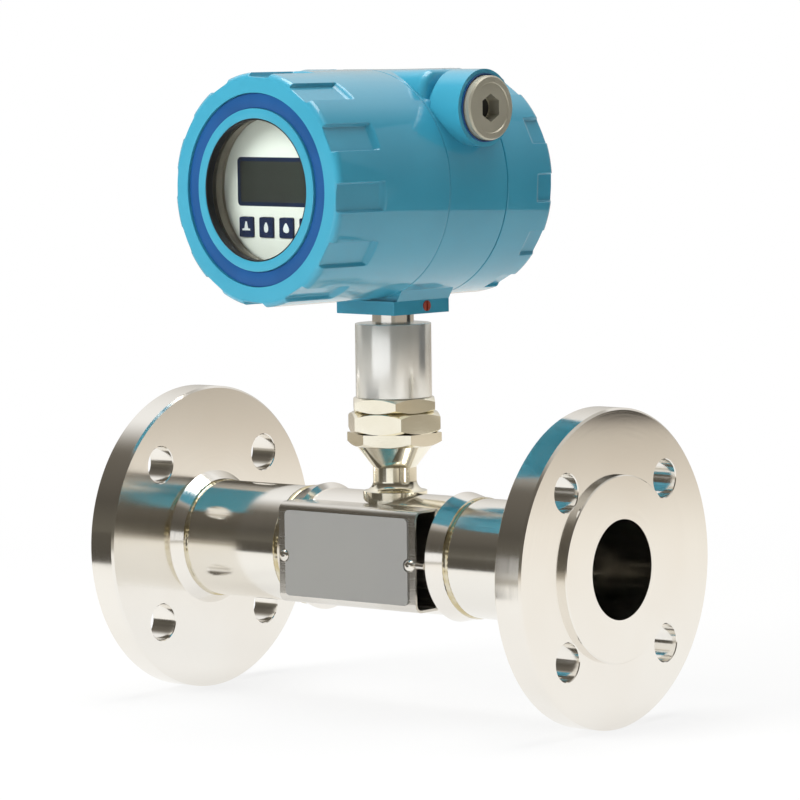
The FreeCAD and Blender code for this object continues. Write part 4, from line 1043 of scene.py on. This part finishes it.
@dataclass
class CarriedOver:
    """CAD nodes that keep their own shape: merged corners, crisp edges and a finish."""

    crisp: float = 30.0
    merge: float = 0.002
    other_finish: dict = field(default_factory=lambda: {
        "conduit_plug": "plug_nickel", "lock_screw": "lock_paint",
        "neck_nipple": "stainless_neck", "sleeve_ring": "stainless_sleeve"})

    def smoothing(self) -> bpy.types.NodeTree:
        """Geometry nodes: merge by distance, shade smooth, keep edges sharper than the angle.

        Returns:
            The node tree for the modifiers.
        """
        tree = bpy.data.node_groups.new("merge_and_smooth", "GeometryNodeTree")
        tree.interface.new_socket("Geometry", in_out="INPUT", socket_type="NodeSocketGeometry")
        tree.interface.new_socket("Geometry", in_out="OUTPUT", socket_type="NodeSocketGeometry")
        entry = add_node(tree, "NodeGroupInput")
        merged = add_node(tree, "GeometryNodeMergeByDistance", {
            "Geometry": entry.outputs[0], "Distance": self.merge * MM})
        smooth = add_node(tree, "GeometryNodeSetShadeSmooth", {
            "Geometry": merged.outputs[0]}, domain="FACE")
        angle = add_node(tree, "GeometryNodeInputMeshEdgeAngle")
        steep = add_node(tree, "FunctionNodeCompare", {
            0: angle.outputs["Unsigned Angle"], 1: math.radians(self.crisp)},
            data_type="FLOAT", operation="GREATER_THAN")
        crisp = add_node(tree, "GeometryNodeSetShadeSmooth", {
            "Geometry": smooth.outputs[0], "Selection": steep.outputs[0]}, domain="EDGE")
        crisp.inputs["Shade Smooth"].default_value = False
        add_node(tree, "NodeGroupOutput", {0: crisp.outputs[0]})
        return tree

    def build(self, palette: Palette) -> None:
        """Dresses every node that is still shown.

        Args:
            palette: the finishes.
        """
        tree = self.smoothing()
        for part in frame["record"]["subparts"]:
            name, slot = part["node"], part["material_slot"]
            node = frame["nodes"][name]
            if node.hide_render:
                continue
            palette.dress_node(name, slot, self.other_finish.get(name, ""))
            node.modifiers.new("merge_and_smooth", "NODES").node_group = tree
            LOG.info("finished %s", name)


# --- studio --------------------------------------------------------------------------------------


@dataclass(frozen=True)
class Card:
    """Upright card of the studio: middle, width and heights above the floor in metres.

    facing is the turn of its width from the X axis, in degrees.
    """

    name: str
    middle: tuple
    facing: float
    width: float
    low: float
    high: float
    low_tone: str
    high_tone: str


@dataclass(frozen=True)
class SoftBox:
    """Square soft lamp: place and side in metres, power in watts, whether metal mirrors it."""

    name: str
    place: tuple
    size: float
    power: float
    mirrored: bool


@dataclass
class Studio:
    """Pale floor, soft lamps, world and camera; lengths in metres, angles in degrees.

    own_white is the floor's own share of white near the meter, even_light the world's light on
    dull surfaces, behind and away the directions in which reflections turn to the far tones.
    """

    floor_level: float = -0.075
    floor_size: float = 30.0
    eye: tuple = (1.42503, -1.61435, 0.24805)
    azimuth: float = 38.57
    elevation: float = 4.84
    roll: float = -0.71
    lens: float = 194.25
    sensor: float = 36.0
    middle: tuple = (0.134, 0.0, 0.08)
    own_white: float = 0.80
    even_light: float = 0.30
    behind: tuple = (0.62, 0.78, 0.0)
    away: tuple = (-0.62, 0.78, 0.0)
    cards: tuple = (
        Card("dark_card_before_pipes", (-0.06, -0.27), 0.0, 0.32, 0.0, 0.10, "#4d4942", "#57534b"),
        Card("dark_card_beside_head", (0.421, 0.281), -38.5, 0.20, 0.115, 0.60, "#23211f", "#c9c6c0"),
        Card("white_card_before_sleeve", (0.134, -1.0), 0.0, 1.1, 0.0, 0.26, "#ffffff", "#ffffff"),
    )
    lamps: tuple = (
        SoftBox("key_softbox", (-0.6, -2.0, 1.15), 1.2, 46, False),
        SoftBox("top_softbox", (0.1, 0.2, 2.2), 1.6, 36, True),
    )

    def floor(self) -> None:
        """Pale floor that keeps the shadow near the meter and fades to white further out.

        Away from the meter the share of its own white rises by smoothstep of the distance;
        reflections see it turn warmer and darker further out.
        """
        half = self.floor_size / 2
        mesh = bpy.data.meshes.new("studio_floor")
        corners = np.array([(-half, -half), (half, -half), (half, half), (-half, half)])
        mesh.from_pydata(np.column_stack([corners, np.full(4, self.floor_level)]), [], [(0, 1, 2, 3)])
        floor = bpy.data.objects.new("studio_floor", mesh)
        bpy.context.scene.collection.objects.link(floor)
        material, tree = new_material("pale_floor")
        place = add_node(tree, "ShaderNodeTexCoord").outputs["Object"]
        away = add_node(tree, "ShaderNodeVectorMath", {
            0: place, 1: (self.middle[0], 0, self.floor_level)}, operation="DISTANCE")
        share = add_node(tree, "ShaderNodeMapRange", {
            "Value": away.outputs["Value"], "From Min": 0.25, "From Max": 0.9,
            "To Min": self.own_white, "To Max": 1.0}, interpolation_type="SMOOTHSTEP")
        distance = add_node(tree, "ShaderNodeMath", {
            0: away.outputs["Value"], 1: 3.0}, operation="DIVIDE").outputs[0]
        near_side = self.ramp(tree, distance, [
            (0.0, "#ffffff"), (0.16, "#fbf8f2"), (0.22, "#b3aea4"), (1.0, "#9a958b")])
        far_side = self.ramp(tree, distance, [
            (0.0, "#ffffff"), (0.30, "#fdf8ef"), (0.42, "#ddd3c5"), (0.58, "#c6beb2"), (1.0, "#a8a094")])
        behind = add_node(tree, "ShaderNodeVectorMath", {
            0: place, 1: self.behind}, operation="DOT_PRODUCT")
        side = add_node(tree, "ShaderNodeMapRange", {
            "Value": behind.outputs["Value"], "From Min": -0.1, "From Max": 0.15}).outputs[0]
        ramp = add_node(tree, "ShaderNodeMix", {
            0: side, 6: near_side, 7: far_side}, data_type="RGBA").outputs[2]
        path = add_node(tree, "ShaderNodeLightPath")
        colour = add_node(tree, "ShaderNodeMix", {
            0: path.outputs["Is Glossy Ray"], 6: (1, 1, 1, 1), 7: ramp}, data_type="RGBA")
        lit = add_node(tree, "ShaderNodeBsdfDiffuse", {"Color": linear("#f2f2f0")})
        white = add_node(tree, "ShaderNodeEmission", {"Color": colour.outputs[2], "Strength": 1.0})
        mixed = add_node(tree, "ShaderNodeMath", {
            0: self.seen_rays(tree), 1: share.outputs[0]}, operation="MULTIPLY")
        both = add_node(tree, "ShaderNodeMixShader", {
            0: mixed.outputs[0], 1: lit.outputs[0], 2: white.outputs[0]})
        add_node(tree, "ShaderNodeOutputMaterial", {"Surface": both.outputs[0]})
        mesh.materials.append(material)

    def ramp(self, tree: bpy.types.NodeTree, value: bpy.types.NodeSocket,
             stops: list) -> bpy.types.NodeSocket:
        """Colour ramp, straight between its stops.

        Args:
            tree: tree that takes the ramp.
            value: socket that drives it.
            stops: pairs of position and sRGB hex.

        Returns:
            The socket of the colour.
        """
        made = add_node(tree, "ShaderNodeValToRGB", {0: value})
        elements = made.color_ramp.elements
        elements.remove(elements[-1])
        elements[0].position, elements[0].color = stops[0][0], linear(stops[0][1])
        for position, code in stops[1:]:
            elements.new(position).color = linear(code)
        return made.outputs[0]

    def card(self, spec: Card) -> None:
        """Adds a plain upright card that only reflections see, as set round polished metal.

        Its glow runs from the low colour to the high one by smoothstep of the height.

        Args:
            spec: the card's place, size and tones.
        """
        turn = math.radians(spec.facing)
        across = np.array([math.cos(turn), math.sin(turn)])
        ends = [np.array(spec.middle) + across * spec.width / 2 * sign for sign in (-1, 1)]
        low, high = self.floor_level + spec.low, self.floor_level + spec.high
        mesh = bpy.data.meshes.new(spec.name)
        corners = [(*ends[0], low), (*ends[1], low), (*ends[1], high), (*ends[0], high)]
        mesh.from_pydata(corners, [], [(0, 1, 2, 3)])
        made = bpy.data.objects.new(spec.name, mesh)
        bpy.context.scene.collection.objects.link(made)
        made.visible_camera = made.visible_diffuse = False
        made.visible_shadow = made.visible_transmission = False
        material, tree = new_material(spec.name)
        place = add_node(tree, "ShaderNodeTexCoord").outputs["Object"]
        height = add_node(tree, "ShaderNodeSeparateXYZ", {0: place}).outputs[2]
        share = add_node(tree, "ShaderNodeMapRange", {
            "Value": height, "From Min": low, "From Max": high}, interpolation_type="SMOOTHSTEP").outputs[0]
        tone = self.ramp(tree, share, [(0.0, spec.low_tone), (1.0, spec.high_tone)])
        glow = add_node(tree, "ShaderNodeEmission", {"Color": tone, "Strength": 1.0})
        add_node(tree, "ShaderNodeOutputMaterial", {"Surface": glow.outputs[0]})
        mesh.materials.append(material)

    def seen_rays(self, tree: bpy.types.NodeTree) -> bpy.types.NodeSocket:
        """One for rays from the lens, in reflections and through glass, else zero.

        Args:
            tree: tree that takes the nodes.

        Returns:
            The socket of the share.
        """
        path = add_node(tree, "ShaderNodeLightPath")
        first = add_node(tree, "ShaderNodeMath", {
            0: path.outputs["Is Camera Ray"], 1: path.outputs["Is Glossy Ray"]}, operation="MAXIMUM")
        both = add_node(tree, "ShaderNodeMath", {
            0: first.outputs[0], 1: path.outputs["Is Transmission Ray"]}, operation="MAXIMUM")
        return both.outputs[0]

    def world(self) -> None:
        """Even pale light; reflections see white above and a grey-brown band on the horizon."""
        world = bpy.data.worlds.new("studio")
        bpy.context.scene.world = world
        world.use_nodes = True
        tree = world.node_tree
        tree.nodes.clear()
        way = add_node(tree, "ShaderNodeTexCoord").outputs["Generated"]
        height = add_node(tree, "ShaderNodeSeparateXYZ", {0: way}).outputs[2]
        before = self.ramp(tree, height, [
            (0.0, "#6a665c"), (0.35, "#55514a"), (0.7, "#6b665e"), (0.84, "#d5d1ca"), (0.92, "#ffffff")])
        back = self.ramp(tree, height, [(0.0, "#c4c1bb"), (0.35, "#dedbd6"), (0.8, "#ffffff")])
        behind = add_node(tree, "ShaderNodeVectorMath", {
            0: way, 1: self.away}, operation="DOT_PRODUCT")
        turn = add_node(tree, "ShaderNodeMapRange", {
            "Value": behind.outputs["Value"], "From Min": 0.25, "From Max": 0.55},
            interpolation_type="SMOOTHSTEP")
        band = add_node(tree, "ShaderNodeMix", {
            0: turn.outputs[0], 6: before, 7: back}, data_type="RGBA").outputs[2]
        path = add_node(tree, "ShaderNodeLightPath")
        mirror = add_node(tree, "ShaderNodeBackground", {"Color": band, "Strength": 1.0})
        clear = add_node(tree, "ShaderNodeBackground", {"Color": (1, 1, 1, 1), "Strength": 1.0})
        even = add_node(tree, "ShaderNodeBackground", {
            "Color": linear("#f7f8fa"), "Strength": self.even_light})
        straight = add_node(tree, "ShaderNodeMath", {
            0: path.outputs["Is Camera Ray"], 1: path.outputs["Is Transmission Ray"]}, operation="MAXIMUM")
        first = add_node(tree, "ShaderNodeMixShader", {
            0: path.outputs["Is Glossy Ray"], 1: even.outputs[0], 2: mirror.outputs[0]})
        second = add_node(tree, "ShaderNodeMixShader", {
            0: straight.outputs[0], 1: first.outputs[0], 2: clear.outputs[0]})
        add_node(tree, "ShaderNodeOutputWorld", {0: second.outputs[0]})

    def lamp(self, box: SoftBox) -> None:
        """Adds a soft box turned to the middle of the meter.

        Args:
            box: the lamp's place, size and power.
        """
        light = bpy.data.lights.new(box.name, "AREA")
        light.shape, light.size, light.energy = "SQUARE", box.size, box.power
        holder = bpy.data.objects.new(box.name, light)
        holder.location = box.place
        way = Vector(self.middle) - Vector(box.place)
        holder.rotation_euler = way.to_track_quat("-Z", "Y").to_euler()
        holder.visible_glossy = box.mirrored
        bpy.context.scene.collection.objects.link(holder)

    def camera(self) -> None:
        """Long lens level with the head, turned by azimuth, elevation and a slight roll.

        Back points from the meter to the lens; right and up turn about it by the roll.
        """
        a, e, r = (math.radians(v) for v in (self.azimuth, self.elevation, self.roll))
        back = Vector((math.sin(a) * math.cos(e), -math.cos(a) * math.cos(e), math.sin(e)))
        right = Vector((math.cos(a), math.sin(a), 0))
        up = Vector((-math.sin(a) * math.sin(e), math.cos(a) * math.sin(e), math.cos(e)))
        right, up = right * math.cos(r) + up * math.sin(r), up * math.cos(r) - right * math.sin(r)
        data = bpy.data.cameras.new("studio_camera")
        data.lens, data.sensor_width = self.lens, self.sensor
        holder = bpy.data.objects.new("studio_camera", data)
        turn = Matrix((right, up, back)).transposed().to_4x4()
        holder.matrix_world = Matrix.Translation(self.eye) @ turn
        bpy.context.scene.collection.objects.link(holder)
        bpy.context.scene.camera = holder

    def build(self) -> None:
        """Adds the floor, world, lamps, cards and camera, and sets the plain view transform."""
        self.floor()
        self.world()
        for box in self.lamps:
            self.lamp(box)
        for card in self.cards:
            self.card(card)
        self.camera()
        bpy.context.scene.view_settings.view_transform = "Standard"


def main() -> None:
    """Builds each sub-assembly, then the studio."""
    logging.basicConfig(level=logging.INFO, format="%(message)s")
    palette = Palette()
    for assembly in (FlowTube(), Stem(), Covers(), Display(), CablePlug(), CarriedOver()):
        assembly.build(palette)
        LOG.info("built %s", type(assembly).__name__)
    Studio().build()


if __name__ == "__main__":
    main()
